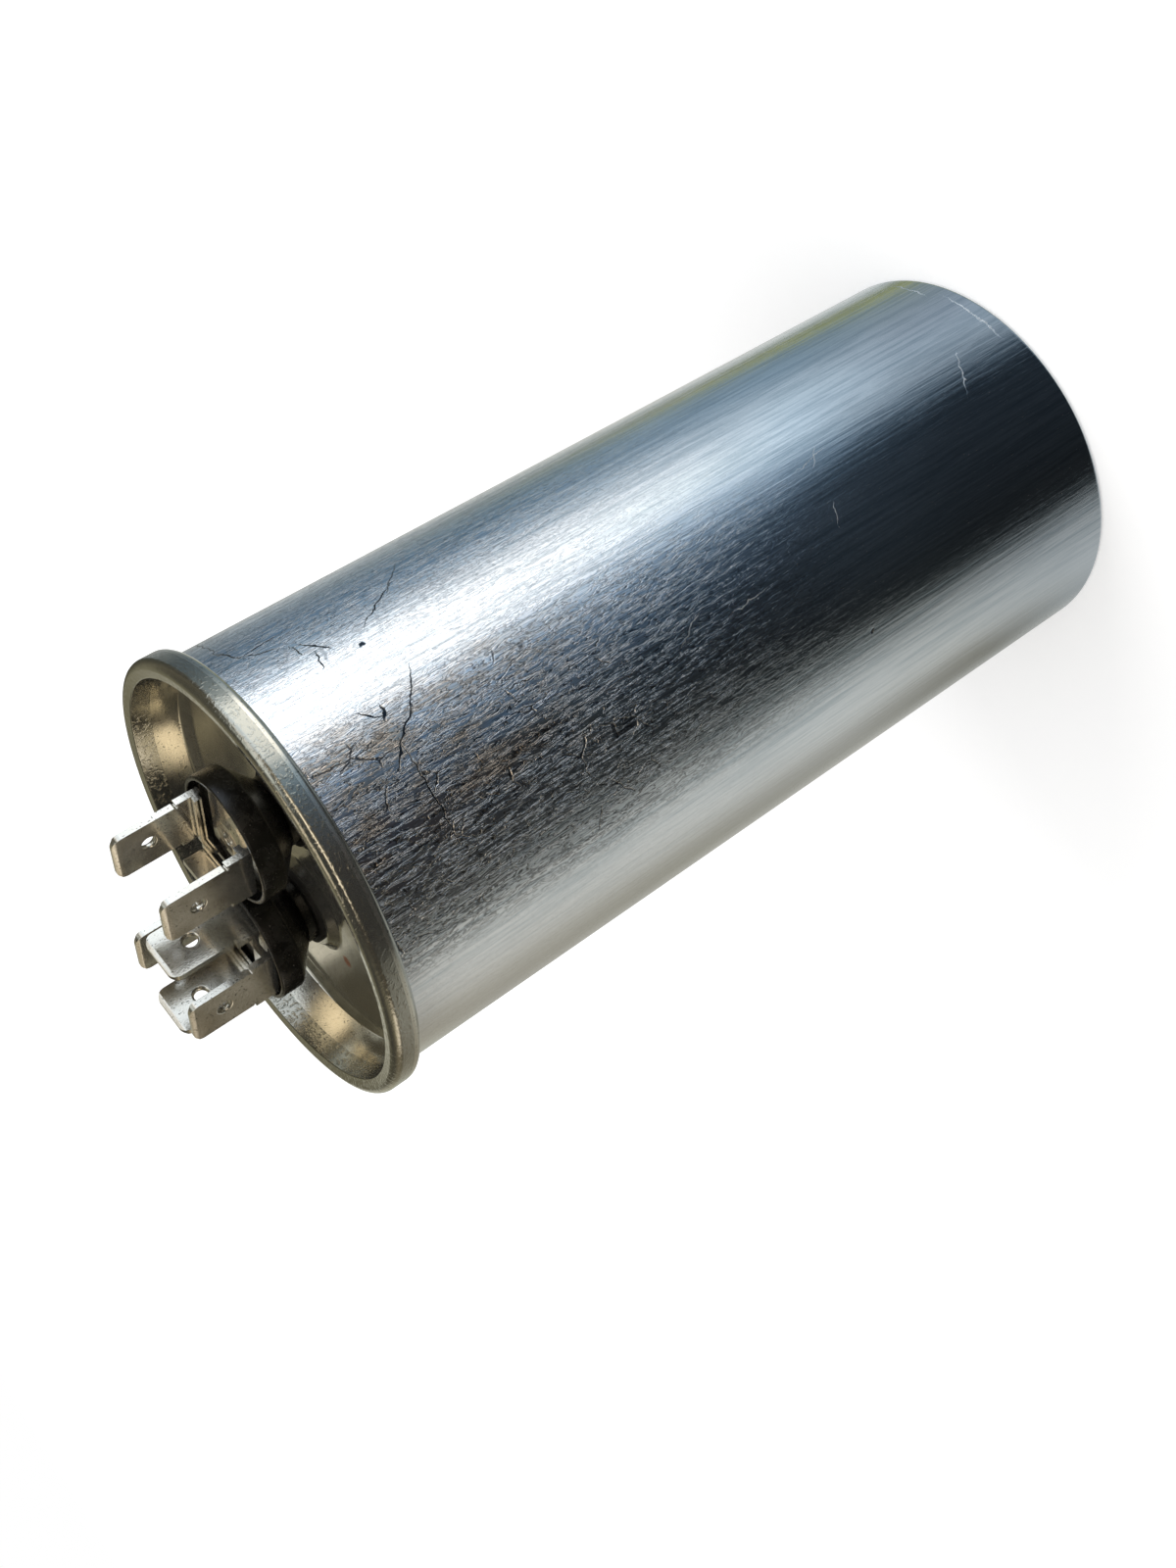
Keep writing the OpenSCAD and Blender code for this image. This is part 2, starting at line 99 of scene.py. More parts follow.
# Cups.
CUP_R = (CUP_HIGH.x - CUP_LOW.x) / 2
CUP_TOP = CUP_HIGH.z
CUP_WALL = 0.5
CUP_STRAIGHT = 2.75
CUP_CONE = 2.95
NECK_R = 4.1
SPIGOT_R = 3.2
SPIGOT_PLAY = 0.05
BORE_R = 2.05

# Terminals.
PLATE_LOW = TAB_LOW.z
TAB_T = 0.8
PLATE_TOP = PLATE_LOW + TAB_T
TAB_W = 6.35
TAB_TIP = TAB_HIGH.z
ROOT_H = 3.3
SHOULDER = 0.4
ROOT_W = TAB_W + 2 * SHOULDER
TIP_ROUND = 1.2
TIP_SLOPE = 0.8
TIP_BEVEL = 0.2
BEND_R = 0.4
HOLE_D = 1.6
HOLE_BEVEL = 0.25
HOLE_DROP = 3.95
NOTCH_R = 0.25
PAIR_OFFSET = 4.8
WALL_OFFSET = 5.0
WALL_H = 4.0
SLOT_W = 5.0
SLOT_H = 1.2
SLOT_SILL = 0.02         # what the slot leaves above the plate's face
CROWN_OFFSET = 5.45
TAB_TURN = math.radians(-4)
EDGE = 0.07              # round on the punched edges of the sheet

# Rivets: formed head under the lid, shank, spread head on the plate and the blind hole in it.
HEAD_R = 3.2
HEAD_T = 0.8
HEAD_ROUND = 0.3
SHANK_R = 2.0
SPREAD_R = 2.8
SPREAD_TOP_R = 2.1
SPREAD_ROUND = 0.25
BLIND_R = 1.1
BLIND_H = 1.6
BLIND_ROUND = 0.1


# ---------------------------------------------------------------- modelling

def deselect():
    """Leaves edit mode with nothing selected."""
    if bpy.context.object and bpy.context.object.mode == "EDIT":
        bpy.ops.object.mode_set(mode="OBJECT")
    bpy.ops.object.select_all(action="DESELECT")


def select(*pieces):
    """Selects these pieces alone; the first is the active one."""
    deselect()
    for piece in pieces:
        piece.select_set(True)
    bpy.context.view_layer.objects.active = pieces[0]


def rounded(corners, steps=6):
    """Profile points from corners of (radius, height, fillet), each corner turned through its fillet."""
    points = []
    for i, (x, z, fillet) in enumerate(corners):
        here = Vector((x, z))
        if not fillet:
            points.append(here)
            continue
        back = (Vector(corners[i - 1][:2]) - here).normalized()
        ahead = (Vector(corners[i + 1][:2]) - here).normalized()
        half = back.angle(ahead) / 2
        centre = here + (back + ahead).normalized() * fillet / math.sin(half)
        first = here + back * fillet / math.tan(half) - centre
        last = here + ahead * fillet / math.tan(half) - centre
        start = math.atan2(first.y, first.x)
        sweep = (math.atan2(last.y, last.x) - start + math.pi) % math.tau - math.pi
        for step in range(steps + 1):
            turn = start + sweep * step / steps
            points.append(centre + fillet * Vector((math.cos(turn), math.sin(turn))))
    return points


def arc(centre_r, centre_z, radius, first, last, steps=12):
    """Profile points of an arc, from angle first to last in degrees."""
    turns = [math.radians(first + (last - first) * i / steps) for i in range(steps + 1)]
    return [Vector((centre_r + radius * math.cos(a), centre_z + radius * math.sin(a))) for a in turns]


def lathe(name, profile, centre_x=0.0, segments=128):
    """Draws the profile of (radius, height) by extruding a vertex, then spins it once round the axis."""
    deselect()
    bpy.ops.mesh.primitive_plane_add(size=MM, location=(0, 0, 0))
    piece = bpy.context.object
    piece.name = piece.data.name = name
    bpy.ops.object.mode_set(mode="EDIT")
    bpy.ops.mesh.select_mode(type="VERT")
    bpy.ops.mesh.merge(type="CENTER")
    bpy.ops.transform.translate(value=Vector((centre_x + profile[0][0], 0, profile[0][1])) * MM)
    for before, after in zip(profile, profile[1:]):
        move = (MM * (after[0] - before[0]), 0, MM * (after[1] - before[1]))
        bpy.ops.mesh.extrude_region_move(TRANSFORM_OT_translate={"value": move})
    bpy.ops.mesh.select_all(action="SELECT")
    bpy.ops.mesh.spin(steps=segments, angle=math.tau, center=(centre_x * MM, 0, 0), axis=(0, 0, 1))
    return tidy(piece)


def tidy(piece):
    """Merges doubles, points the faces outwards and smooths all but the sharp edges."""
    select(piece)
    bpy.ops.object.mode_set(mode="EDIT")
    bpy.ops.mesh.select_all(action="SELECT")
    bpy.ops.mesh.remove_doubles(threshold=MERGE * MM)
    bpy.ops.mesh.normals_make_consistent(inside=False)
    bpy.ops.object.mode_set(mode="OBJECT")
    bpy.ops.object.shade_smooth_by_angle(angle=SMOOTH)
    return piece


def block(name, low, high):
    """A box between two corners."""
    deselect()
    bpy.ops.mesh.primitive_cube_add(size=1, location=(0, 0, 0))
    piece = bpy.context.object
    piece.name = piece.data.name = name
    low, high = Vector(low) * MM, Vector(high) * MM
    bpy.ops.object.mode_set(mode="EDIT")
    bpy.ops.mesh.select_all(action="SELECT")
    bpy.ops.transform.resize(value=high - low)
    bpy.ops.transform.translate(value=(low + high) / 2)
    bpy.ops.object.mode_set(mode="OBJECT")
    return piece


def pick(piece, domain, chosen):
    """Enters edit mode with those faces or edges selected whose middle and corners pass the test."""
    select(piece)
    bpy.ops.object.mode_set(mode="EDIT")
    bpy.ops.mesh.select_mode(type=domain)
    bpy.ops.mesh.select_all(action="DESELECT")
    bpy.ops.object.mode_set(mode="OBJECT")
    mesh = piece.data
    for item in mesh.polygons if domain == "FACE" else mesh.edges:
        corners = [mesh.vertices[i].co / MM for i in item.vertices]
        item.select = chosen(sum(corners, Vector((0, 0, 0))) / len(corners), corners)
    bpy.ops.object.mode_set(mode="EDIT")


def at_height(corners, height):
    """True where every corner lies at this height."""
    return all(abs(corner.z - height) < CLOSE for corner in corners)


def modify(piece, kind, **settings):
    """Adds a modifier with its settings and applies it."""
    select(piece)
    modifier = piece.modifiers.new(kind.lower(), kind)
    for key, value in settings.items():
        setattr(modifier, key, value)
    bpy.ops.object.modifier_apply(modifier=modifier.name)


def cut_away(piece, *cutters):
    """Takes the cutters' shapes out of a piece."""
    for cutter in cutters:
        modify(piece, "BOOLEAN", operation="DIFFERENCE", object=cutter, solver="EXACT")
        bpy.data.objects.remove(cutter)


def pin(radius, low, high, centre_x, centre_z):
    """A round cutter along Y."""
    deselect()
    middle = Vector((centre_x, (low + high) / 2, centre_z)) * MM
    bpy.ops.mesh.primitive_cylinder_add(vertices=40, radius=radius * MM, depth=(high - low) * MM,
                                        location=middle, rotation=(math.pi / 2, 0, 0))
    bpy.ops.object.transform_apply(location=True, rotation=True, scale=True)
    return bpy.context.object


def join(name, *pieces):
    """Joins pieces into one of this name."""
    select(*pieces)
    bpy.ops.object.join()
    piece = bpy.context.object
    piece.name = piece.data.name = name
    return piece


def turned_copy(piece, turn):
    """A copy with its own mesh, turned about Z."""
    twin = piece.copy()
    twin.data = piece.data.copy()
    bpy.context.collection.objects.link(twin)
    twin.rotation_euler = (0, 0, turn)
    select(twin)
    bpy.ops.object.transform_apply(location=True, rotation=True, scale=True)
    return twin


def dress(piece, material, slot, *nodes):
    """Gives a new piece its material, its body and the nodes that it stands for; slot is not used."""
    piece.data.materials.clear()
    piece.data.materials.append(material)
    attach(piece, "root")
    if nodes:
        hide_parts(*nodes)


# ---------------------------------------------------------------- materials

def linear(hex_colour):
    """sRGB hex to linear RGBA."""
    parts = [int(hex_colour[i:i + 2], 16) / 255 for i in (1, 3, 5)]
    return (*[p / 12.92 if p <= 0.04045 else ((p + 0.055) / 1.055) ** 2.4 for p in parts], 1.0)


def add(tree, kind, sockets=None, stops=None, **settings):
    """Adds a node with its settings and links, and a ramp's stops of (place, hex colour, RGBA or grey)."""
    node = tree.nodes.new(kind)
    for key, value in settings.items():
        setattr(node, key, value)
    for key, value in (sockets or {}).items():
        if isinstance(value, bpy.types.Node):
            value = value.outputs[0]
        if isinstance(value, bpy.types.NodeSocket):
            tree.links.new(value, node.inputs[key])
        else:
            node.inputs[key].default_value = value
    if stops:
        elements = node.color_ramp.elements
        while len(elements) < len(stops):
            elements.new(0.5)
        for element, (place, colour) in zip(elements, stops):
            element.position = place
            if isinstance(colour, str):
                colour = linear(colour)
            element.color = colour if isinstance(colour, tuple) else (colour, colour, colour, 1)
    return node


def new_material(name, **values):
    """A new material with its shader's even values set; returns it, its tree, the place and the shader."""
    material = bpy.data.materials.new(name)
    material.use_nodes = True
    tree = material.node_tree
    tree.nodes.clear()
    place = add(tree, "ShaderNodeTexCoord").outputs["Object"]
    shader = add(tree, "ShaderNodeBsdfPrincipled", values)
    add(tree, "ShaderNodeOutputMaterial", {"Surface": shader})
    return material, tree, place, shader


# Wear of the can's wall: bearing in degrees and height of one end, then of the other, width and shade.
# Dark marks are real grooves that are also darkened in colour, a painted shade in the groove.
MARKS = [
    (-50, 96.4, -30, 96.4, 0.22, "dark"), (-20, 96.3, -16.8, 95.9, 0.34, "dark"),
    (-15.6, 98.4, -19, 96.3, 0.16, "dark"), (-31, 97.8, -26, 96.2, 0.2, "dark"),
    (-26, 96.2, -21, 93.5, 0.24, "dark"), (-21, 93.5, -12.5, 91, 0.16, "dark"),
    (0.4, 97.8, 5, 97.3, 0.18, "dark"), (1.5, 96.8, 6, 96.5, 0.5, "light"),
    (4, 95.7, 10, 97.4, 0.26, "dark"), (7, 98.2, 10.5, 98.6, 0.14, "dark"),
    (13.8, 99.8, 17.5, 103.2, 0.16, "dark"), (17.5, 103.2, 25, 104.2, 0.18, "dark"),
    (25, 104.2, 42.5, 103.6, 0.14, "dark"), (17.5, 103.2, 19, 97, 0.14, "dark"),
    (6.3, 90.7, 13.8, 85.7, 0.14, "dark"), (13.8, 85.7, 21, 82.8, 0.12, "dark"),
    (-40.6, 63.4, -36.9, 60.4, 0.14, "light"), (-41, 56.5, -40, 51.5, 0.1, "light"),
    (-36, 38.6, -30.6, 37.8, 0.12, "light"), (-19.4, 36.7, -15, 34.8, 0.12, "light"),
    (-18, 38.6, -16.5, 34, 0.1, "light"), (-21.9, 12.3, -12, 9.8, 0.16, "light"),
    (-58, 84.6, -57, 83.2, 0.2, "dark"), (0, 93.3, 0.6, 92.7, 0.5, "dark"),
    (-66, 40.3, -65, 39.9, 0.5, "dark"), (-12, 2.6, 6, 2.2, 0.3, "light"),
    (14, 3.4, 26, 2.8, 0.25, "light"),
]


def marks(tree, wall, kind):
    """Mask of the marks of one kind, on wall coordinates in metres."""
    mask = None
    for first, low, last, high, width, shade in MARKS:
        if shade != kind:
            continue
        start = Vector((math.radians(first) * CAN_R, low)) * MM
        run = Vector((math.radians(last) * CAN_R, high)) * MM - start
        middle = start + run / 2
        moved = add(tree, "ShaderNodeVectorMath", {0: wall, 1: (*middle, 0)}, operation="SUBTRACT")
        turned = add(tree, "ShaderNodeVectorRotate", {
            "Vector": moved, "Axis": (0, 0, 1), "Angle": -math.atan2(run.y, run.x),
        })
        shape = add(tree, "ShaderNodeVectorMath", {
            0: turned, 1: (1.6 / run.length, 2 / (width * MM), 0),
        }, operation="MULTIPLY")
        reach = add(tree, "ShaderNodeVectorMath", {0: shape}, operation="LENGTH")
        depth = add(tree, "ShaderNodeMapRange", {
            "Value": reach.outputs["Value"], "From Min": 1.25, "From Max": 0.6,
        }, interpolation_type="SMOOTHSTEP")
        mask = add(tree, "ShaderNodeMath", {0: mask, 1: depth}, operation="MAXIMUM") if mask else depth
    return mask


def window_of(tree, value, *edges):
    """1 between the two inner edges, fading to 0 at the outer ones."""
    up = add(tree, "ShaderNodeMapRange", {"Value": value, "From Min": edges[0], "From Max": edges[1]},
             interpolation_type="SMOOTHSTEP")
    down = add(tree, "ShaderNodeMapRange", {"Value": value, "From Min": edges[3], "From Max": edges[2]},
               interpolation_type="SMOOTHSTEP")
    return add(tree, "ShaderNodeMath", {0: up, 1: down}, operation="MULTIPLY")


def drawn_aluminium():
    """Bare deep-drawn aluminium: the die leaves lengthwise, bark-like grain, strongest towards the lid."""
    material, tree, place, shader = new_material("drawn_aluminium", Metallic=1.0)
    split = add(tree, "ShaderNodeSeparateXYZ", {0: place})
    up = split.outputs["Z"]
    bearing = add(tree, "ShaderNodeMath", {0: split.outputs["Y"], 1: split.outputs["X"]}, operation="ARCTAN2")
    arc_length = add(tree, "ShaderNodeMath", {0: bearing, 1: CAN_R * MM}, operation="MULTIPLY")
    wall = add(tree, "ShaderNodeCombineXYZ", {0: arc_length, 1: up})
    drawn = {
        times: add(tree, "ShaderNodeVectorMath", {0: place, 1: (1, 1, 1 / times)}, operation="MULTIPLY")
        for times in (2, 2.5, 3, 5, 30)
    }

    # Marks and cracks have edges frayed by about a millimetre.
    fray = add(tree, "ShaderNodeTexNoise", {"Vector": place, "Scale": 1 / (1.3 * MM), "Detail": 4.0})
    fray = add(tree, "ShaderNodeVectorMath", {
        0: fray.outputs["Color"], 1: (0.5, 0.5, 0.5),
    }, operation="SUBTRACT")
    wall = add(tree, "ShaderNodeVectorMath", {
        0: fray, 1: (1.2 * MM, 1.2 * MM, 0), 2: wall,
    }, operation="MULTIPLY_ADD")

    # The grain fades towards the base, and differs from side to side.
    fade = add(tree, "ShaderNodeMapRange", {
        "Value": up, "From Min": 30 * MM, "From Max": 85 * MM, "To Min": 0.08, "To Max": 1.0,
    }, interpolation_type="SMOOTHSTEP")
    turned = add(tree, "ShaderNodeMapRange", {
        "Value": bearing, "From Min": math.radians(-90), "From Max": math.radians(90),
    })
    worn = add(tree, "ShaderNodeValToRGB", {"Fac": turned}, [
        (0.06, 0.1), (0.13, 1.0), (0.38, 1.0), (0.43, 0.35), (0.5, 0.35), (0.55, 0.7), (0.75, 0.4),
    ])
    fade = add(tree, "ShaderNodeMath", {0: fade, 1: worn}, operation="MULTIPLY")

    # Half-millimetre bark with dark lines between its flakes, lines left by the die, and a slow swell.
    bark = add(tree, "ShaderNodeTexNoise", {
        "Vector": drawn[5], "Scale": 1 / (0.5 * MM), "Detail": 3.0, "Roughness": 0.62, "Distortion": 1.4,
    })
    line = add(tree, "ShaderNodeMath", {0: bark, 1: 0.5}, operation="SUBTRACT")
    line = add(tree, "ShaderNodeMath", {0: line}, operation="ABSOLUTE")
    line = add(tree, "ShaderNodeMapRange", {"Value": line, "From Min": 0.05, "From Max": 0.0})
    line = add(tree, "ShaderNodeMath", {0: line, 1: fade}, operation="MULTIPLY")
    flakes = add(tree, "ShaderNodeMapRange", {"Value": bark, "From Min": 0.5, "From Max": 0.62})
    flakes = add(tree, "ShaderNodeMath", {0: flakes, 1: fade}, operation="MULTIPLY")
    die_lines = add(tree, "ShaderNodeTexNoise", {
        "Vector": drawn[30], "Scale": 1 / (0.55 * MM), "Detail": 4.0, "Roughness": 0.72,
    })
    swell = add(tree, "ShaderNodeTexNoise", {"Vector": drawn[2.5], "Scale": 1 / (7 * MM)})

    # Cracks round cells of 2.6 mm, only here and there where the grain is at its worst.
    cells = add(tree, "ShaderNodeVectorMath", {0: wall, 1: (1, 0.55, 1)}, operation="MULTIPLY")
    cracks = add(tree, "ShaderNodeTexVoronoi", {
        "Vector": cells, "Scale": 1 / (2.6 * MM),
    }, feature="DISTANCE_TO_EDGE")
    cracks = add(tree, "ShaderNodeMapRange", {"Value": cracks, "From Min": 0.03, "From Max": 0.012})
    here = add(tree, "ShaderNodeTexNoise", {"Vector": drawn[2], "Scale": 1 / (3.5 * MM)})
    here = add(tree, "ShaderNodeMapRange", {"Value": here, "From Min": 0.52, "From Max": 0.6})
    cracks = add(tree, "ShaderNodeMath", {0: cracks, 1: here}, operation="MULTIPLY")
    worst = add(tree, "ShaderNodeMapRange", {"Value": fade, "From Min": 0.6, "From Max": 1.0, "To Max": 0.85})
    cracks = add(tree, "ShaderNodeMath", {0: cracks, 1: worst}, operation="MULTIPLY")
    # Dark marks and cracks are real grooves; below they are also darkened in colour as painted shade.
    dark, light = marks(tree, wall, "dark"), marks(tree, wall, "light")
    dark = add(tree, "ShaderNodeMath", {0: dark, 1: cracks}, operation="MAXIMUM")

    normal = add(tree, "ShaderNodeBump", {"Height": swell, "Distance": 0.06 * MM})
    normal = add(tree, "ShaderNodeBump", {"Height": die_lines, "Distance": 0.035 * MM, "Normal": normal})
    normal = add(tree, "ShaderNodeBump", {"Height": flakes, "Distance": 0.012 * MM, "Normal": normal})
    normal = add(tree, "ShaderNodeBump", {"Height": line, "Distance": -0.012 * MM, "Normal": normal})
    normal = add(tree, "ShaderNodeBump", {"Height": dark, "Distance": -0.05 * MM, "Normal": normal})
    tree.links.new(normal.outputs[0], shader.inputs["Normal"])

    rough = add(tree, "ShaderNodeMapRange", {"Value": flakes, "To Min": 0.09, "To Max": 0.24})
    rough = add(tree, "ShaderNodeMath", {0: light, 1: 0.5, 2: rough}, operation="MULTIPLY_ADD")
    tree.links.new(rough.outputs[0], shader.inputs["Roughness"])

    # Dull streaks on the side with the bark, and a brownish stain in patches near the lid.
    streaks = add(tree, "ShaderNodeMapRange", {
        "Value": die_lines, "From Min": 0.58, "From Max": 0.36, "To Max": 0.8,
    })
    streaks = add(tree, "ShaderNodeMath", {
        0: streaks, 1: window_of(tree, bearing, *[math.radians(a) for a in (-100, -70, 40, 90)]),
    }, operation="MULTIPLY")
    stain = add(tree, "ShaderNodeMath", {
        0: window_of(tree, bearing, *[math.radians(a) for a in (-56, -44, -24, -8)]),
        1: window_of(tree, up, 66 * MM, 90 * MM, 120 * MM, 130 * MM),
    }, operation="MULTIPLY")
    patches = add(tree, "ShaderNodeTexNoise", {
        "Vector": drawn[3], "Scale": 1 / (2.2 * MM), "Detail": 5.0, "Roughness": 0.65,
    })
    patches = add(tree, "ShaderNodeMapRange", {"Value": patches, "From Min": 0.4, "From Max": 0.62})
    stain = add(tree, "ShaderNodeMath", {0: stain, 1: patches}, operation="MULTIPLY")
    # Painted shade: the dark marks and cracks are darkened towards #222c36.
    tone = linear("#f2f4f6")
    for mask, colour in ((streaks, "#c2ccd2"), (stain, "#dccbb8"), (line, "#4c4a48"), (dark, "#222c36")):
        tone = add(tree, "ShaderNodeMix", {0: mask, 6: tone, 7: linear(colour)}, data_type="RGBA").outputs[2]
    tree.links.new(tone, shader.inputs["Base Color"])
    return material


def bright_tinplate(name, light, dark, low, high, cell, scuff, rolled_shaded_above=1000.0, rust=(0, 0, 0)):
    """Tin-plated steel: glossy, with faint clouds and pits; above the height where the seaming roll
    pressed it, fine specks and a darker tone that is painted shade; and a speck of rust at one place."""
    material, tree, place, shader = new_material(name, Metallic=0.94)
    cloud = add(tree, "ShaderNodeTexNoise", {"Vector": place, "Scale": 1 / (cell * MM), "Detail": 4.0})
    pits = add(tree, "ShaderNodeTexNoise", {"Vector": place, "Scale": 1 / (0.25 * MM), "Detail": 1.0})
    tone = add(tree, "ShaderNodeValToRGB", {"Fac": cloud}, [(0.35, dark), (0.65, light)])
    pitted = add(tree, "ShaderNodeValToRGB", {"Fac": pits}, [(0.28, 0.3), (0.35, 1.0)])
    tone = add(tree, "ShaderNodeMix", {0: 1.0, 6: tone, 7: pitted}, data_type="RGBA", blend_type="MULTIPLY")
    away = add(tree, "ShaderNodeVectorMath", {0: place, 1: Vector(rust) * MM}, operation="DISTANCE")
    speck = add(tree, "ShaderNodeMapRange", {
        "Value": away.outputs["Value"], "From Min": 0.9 * MM, "From Max": 0.5 * MM,
    })
    tone = add(tree, "ShaderNodeMix", {
        0: speck, 6: tone.outputs[2], 7: linear("#b0622a"),
    }, data_type="RGBA")
    up = add(tree, "ShaderNodeSeparateXYZ", {0: place}).outputs["Z"]
    rolled_shaded = add(tree, "ShaderNodeMath", {0: up, 1: rolled_shaded_above * MM}, operation="GREATER_THAN")
    # Painted shade: above that height the colour turns darker.
    tone = add(tree, "ShaderNodeMix", {
        0: rolled_shaded, 6: tone.outputs[2], 7: linear("#a8a69a"),
    }, data_type="RGBA")
    tree.links.new(tone.outputs[2], shader.inputs["Base Color"])
    rough = add(tree, "ShaderNodeValToRGB", {"Fac": cloud}, [(0.3, low), (0.7, high)])
    tree.links.new(rough.outputs[0], shader.inputs["Roughness"])
    specks = add(tree, "ShaderNodeTexNoise", {"Vector": place, "Scale": 1 / (0.5 * MM), "Detail": 3.0})
    specks = add(tree, "ShaderNodeMapRange", {"Value": specks, "From Min": 0.52, "From Max": 0.64})
    specks = add(tree, "ShaderNodeMath", {0: specks, 1: rolled_shaded}, operation="MULTIPLY")
    normal = add(tree, "ShaderNodeBump", {"Height": cloud, "Distance": 0.003 * MM})
    normal = add(tree, "ShaderNodeBump", {"Height": pits, "Distance": scuff * MM, "Normal": normal})
    normal = add(tree, "ShaderNodeBump", {"Height": specks, "Distance": 0.012 * MM, "Normal": normal})
    tree.links.new(normal.outputs[0], shader.inputs["Normal"])
    return material


def moulded_phenolic():
    """Black phenolic from a polished mould: semi-gloss, with pale rub marks and a little dust."""
    material, tree, place, shader = new_material("moulded_phenolic", IOR=1.45)
    rubs = add(tree, "ShaderNodeTexNoise", {
        "Vector": place, "Scale": 1 / (1.6 * MM), "Detail": 6.0, "Roughness": 0.7, "Distortion": 0.6,
    })
    dust = add(tree, "ShaderNodeTexNoise", {"Vector": place, "Scale": 1 / (0.22 * MM), "Detail": 1.0})
    tone = add(tree, "ShaderNodeValToRGB", {"Fac": rubs}, [(0.45, "#0c0b09"), (0.72, "#1c1b17")])
    motes = add(tree, "ShaderNodeValToRGB", {"Fac": dust}, [(0.72, 0.0), (0.78, 1.0)])
    tone = add(tree, "ShaderNodeMix", {0: motes, 6: tone, 7: linear("#5e5b52")}, data_type="RGBA")
    tree.links.new(tone.outputs[2], shader.inputs["Base Color"])
    rough = add(tree, "ShaderNodeValToRGB", {"Fac": rubs}, [(0.35, 0.2), (0.7, 0.34)])
    tree.links.new(rough.outputs[0], shader.inputs["Roughness"])
    normal = add(tree, "ShaderNodeBump", {"Height": rubs, "Distance": 0.03 * MM})
    tree.links.new(normal.outputs[0], shader.inputs["Normal"])
    return material


def two_tone(name, light, dark, cell=2.0, stretch=(1, 1, 1), depth=0.01, **values):
    """A finish of two close tones with a fine relief, its cells longer along an axis by its stretch."""
    material, tree, place, shader = new_material(name, **values)
    drawn = add(tree, "ShaderNodeVectorMath", {0: place, 1: [1 / s for s in stretch]}, operation="MULTIPLY")
    cells = add(tree, "ShaderNodeTexNoise", {"Vector": drawn, "Scale": 1 / (cell * MM), "Detail": 3.0})
    tone = add(tree, "ShaderNodeValToRGB", {"Fac": cells}, [(0.35, dark), (0.65, light)])
    tree.links.new(tone.outputs[0], shader.inputs["Base Color"])
    normal = add(tree, "ShaderNodeBump", {"Height": cells, "Distance": depth * MM})
    tree.links.new(normal.outputs[0], shader.inputs["Normal"])
    return material


# ---------------------------------------------------------------- camera, floor and light

CAMERA_AT = (165.6, -119.18, 161.17)
CAMERA_BEARING = 51      # degrees that it is turned round the can
CAMERA_DIP = 28.12       # degrees that it looks down
CAMERA_ROLL = -119.78    # degrees that it lies on its side
FLOOR_SIZE = 8000
FLOOR_LIFT = (0.3, 0.6)  # glow that brings the floor up to white, beside the can and far off
LIFT_REACH = (30, 300)   # distances from the can's axis between which that glow grows
LAMP_AIM = (0, 0, 70)


def make_camera():
    """Low angle with the camera turned on its side, so that the upright can lies across the view."""
    camera = bpy.data.cameras.new("camera")
    camera.lens = 43.887
    camera.shift_x, camera.shift_y = -0.0143, -0.149
    camera.clip_start, camera.clip_end = 0.01, 50
    holder = bpy.data.objects.new("camera", camera)
    bpy.context.collection.objects.link(holder)
    bearing = Matrix.Rotation(math.radians(CAMERA_BEARING), 4, "Z")
    dip = Matrix.Rotation(math.radians(90 - CAMERA_DIP), 4, "X")
    roll = Matrix.Rotation(math.radians(CAMERA_ROLL), 4, "Z")
    holder.matrix_world = Matrix.Translation(Vector(CAMERA_AT) * MM) @ bearing @ dip @ roll
    bpy.context.scene.camera = holder


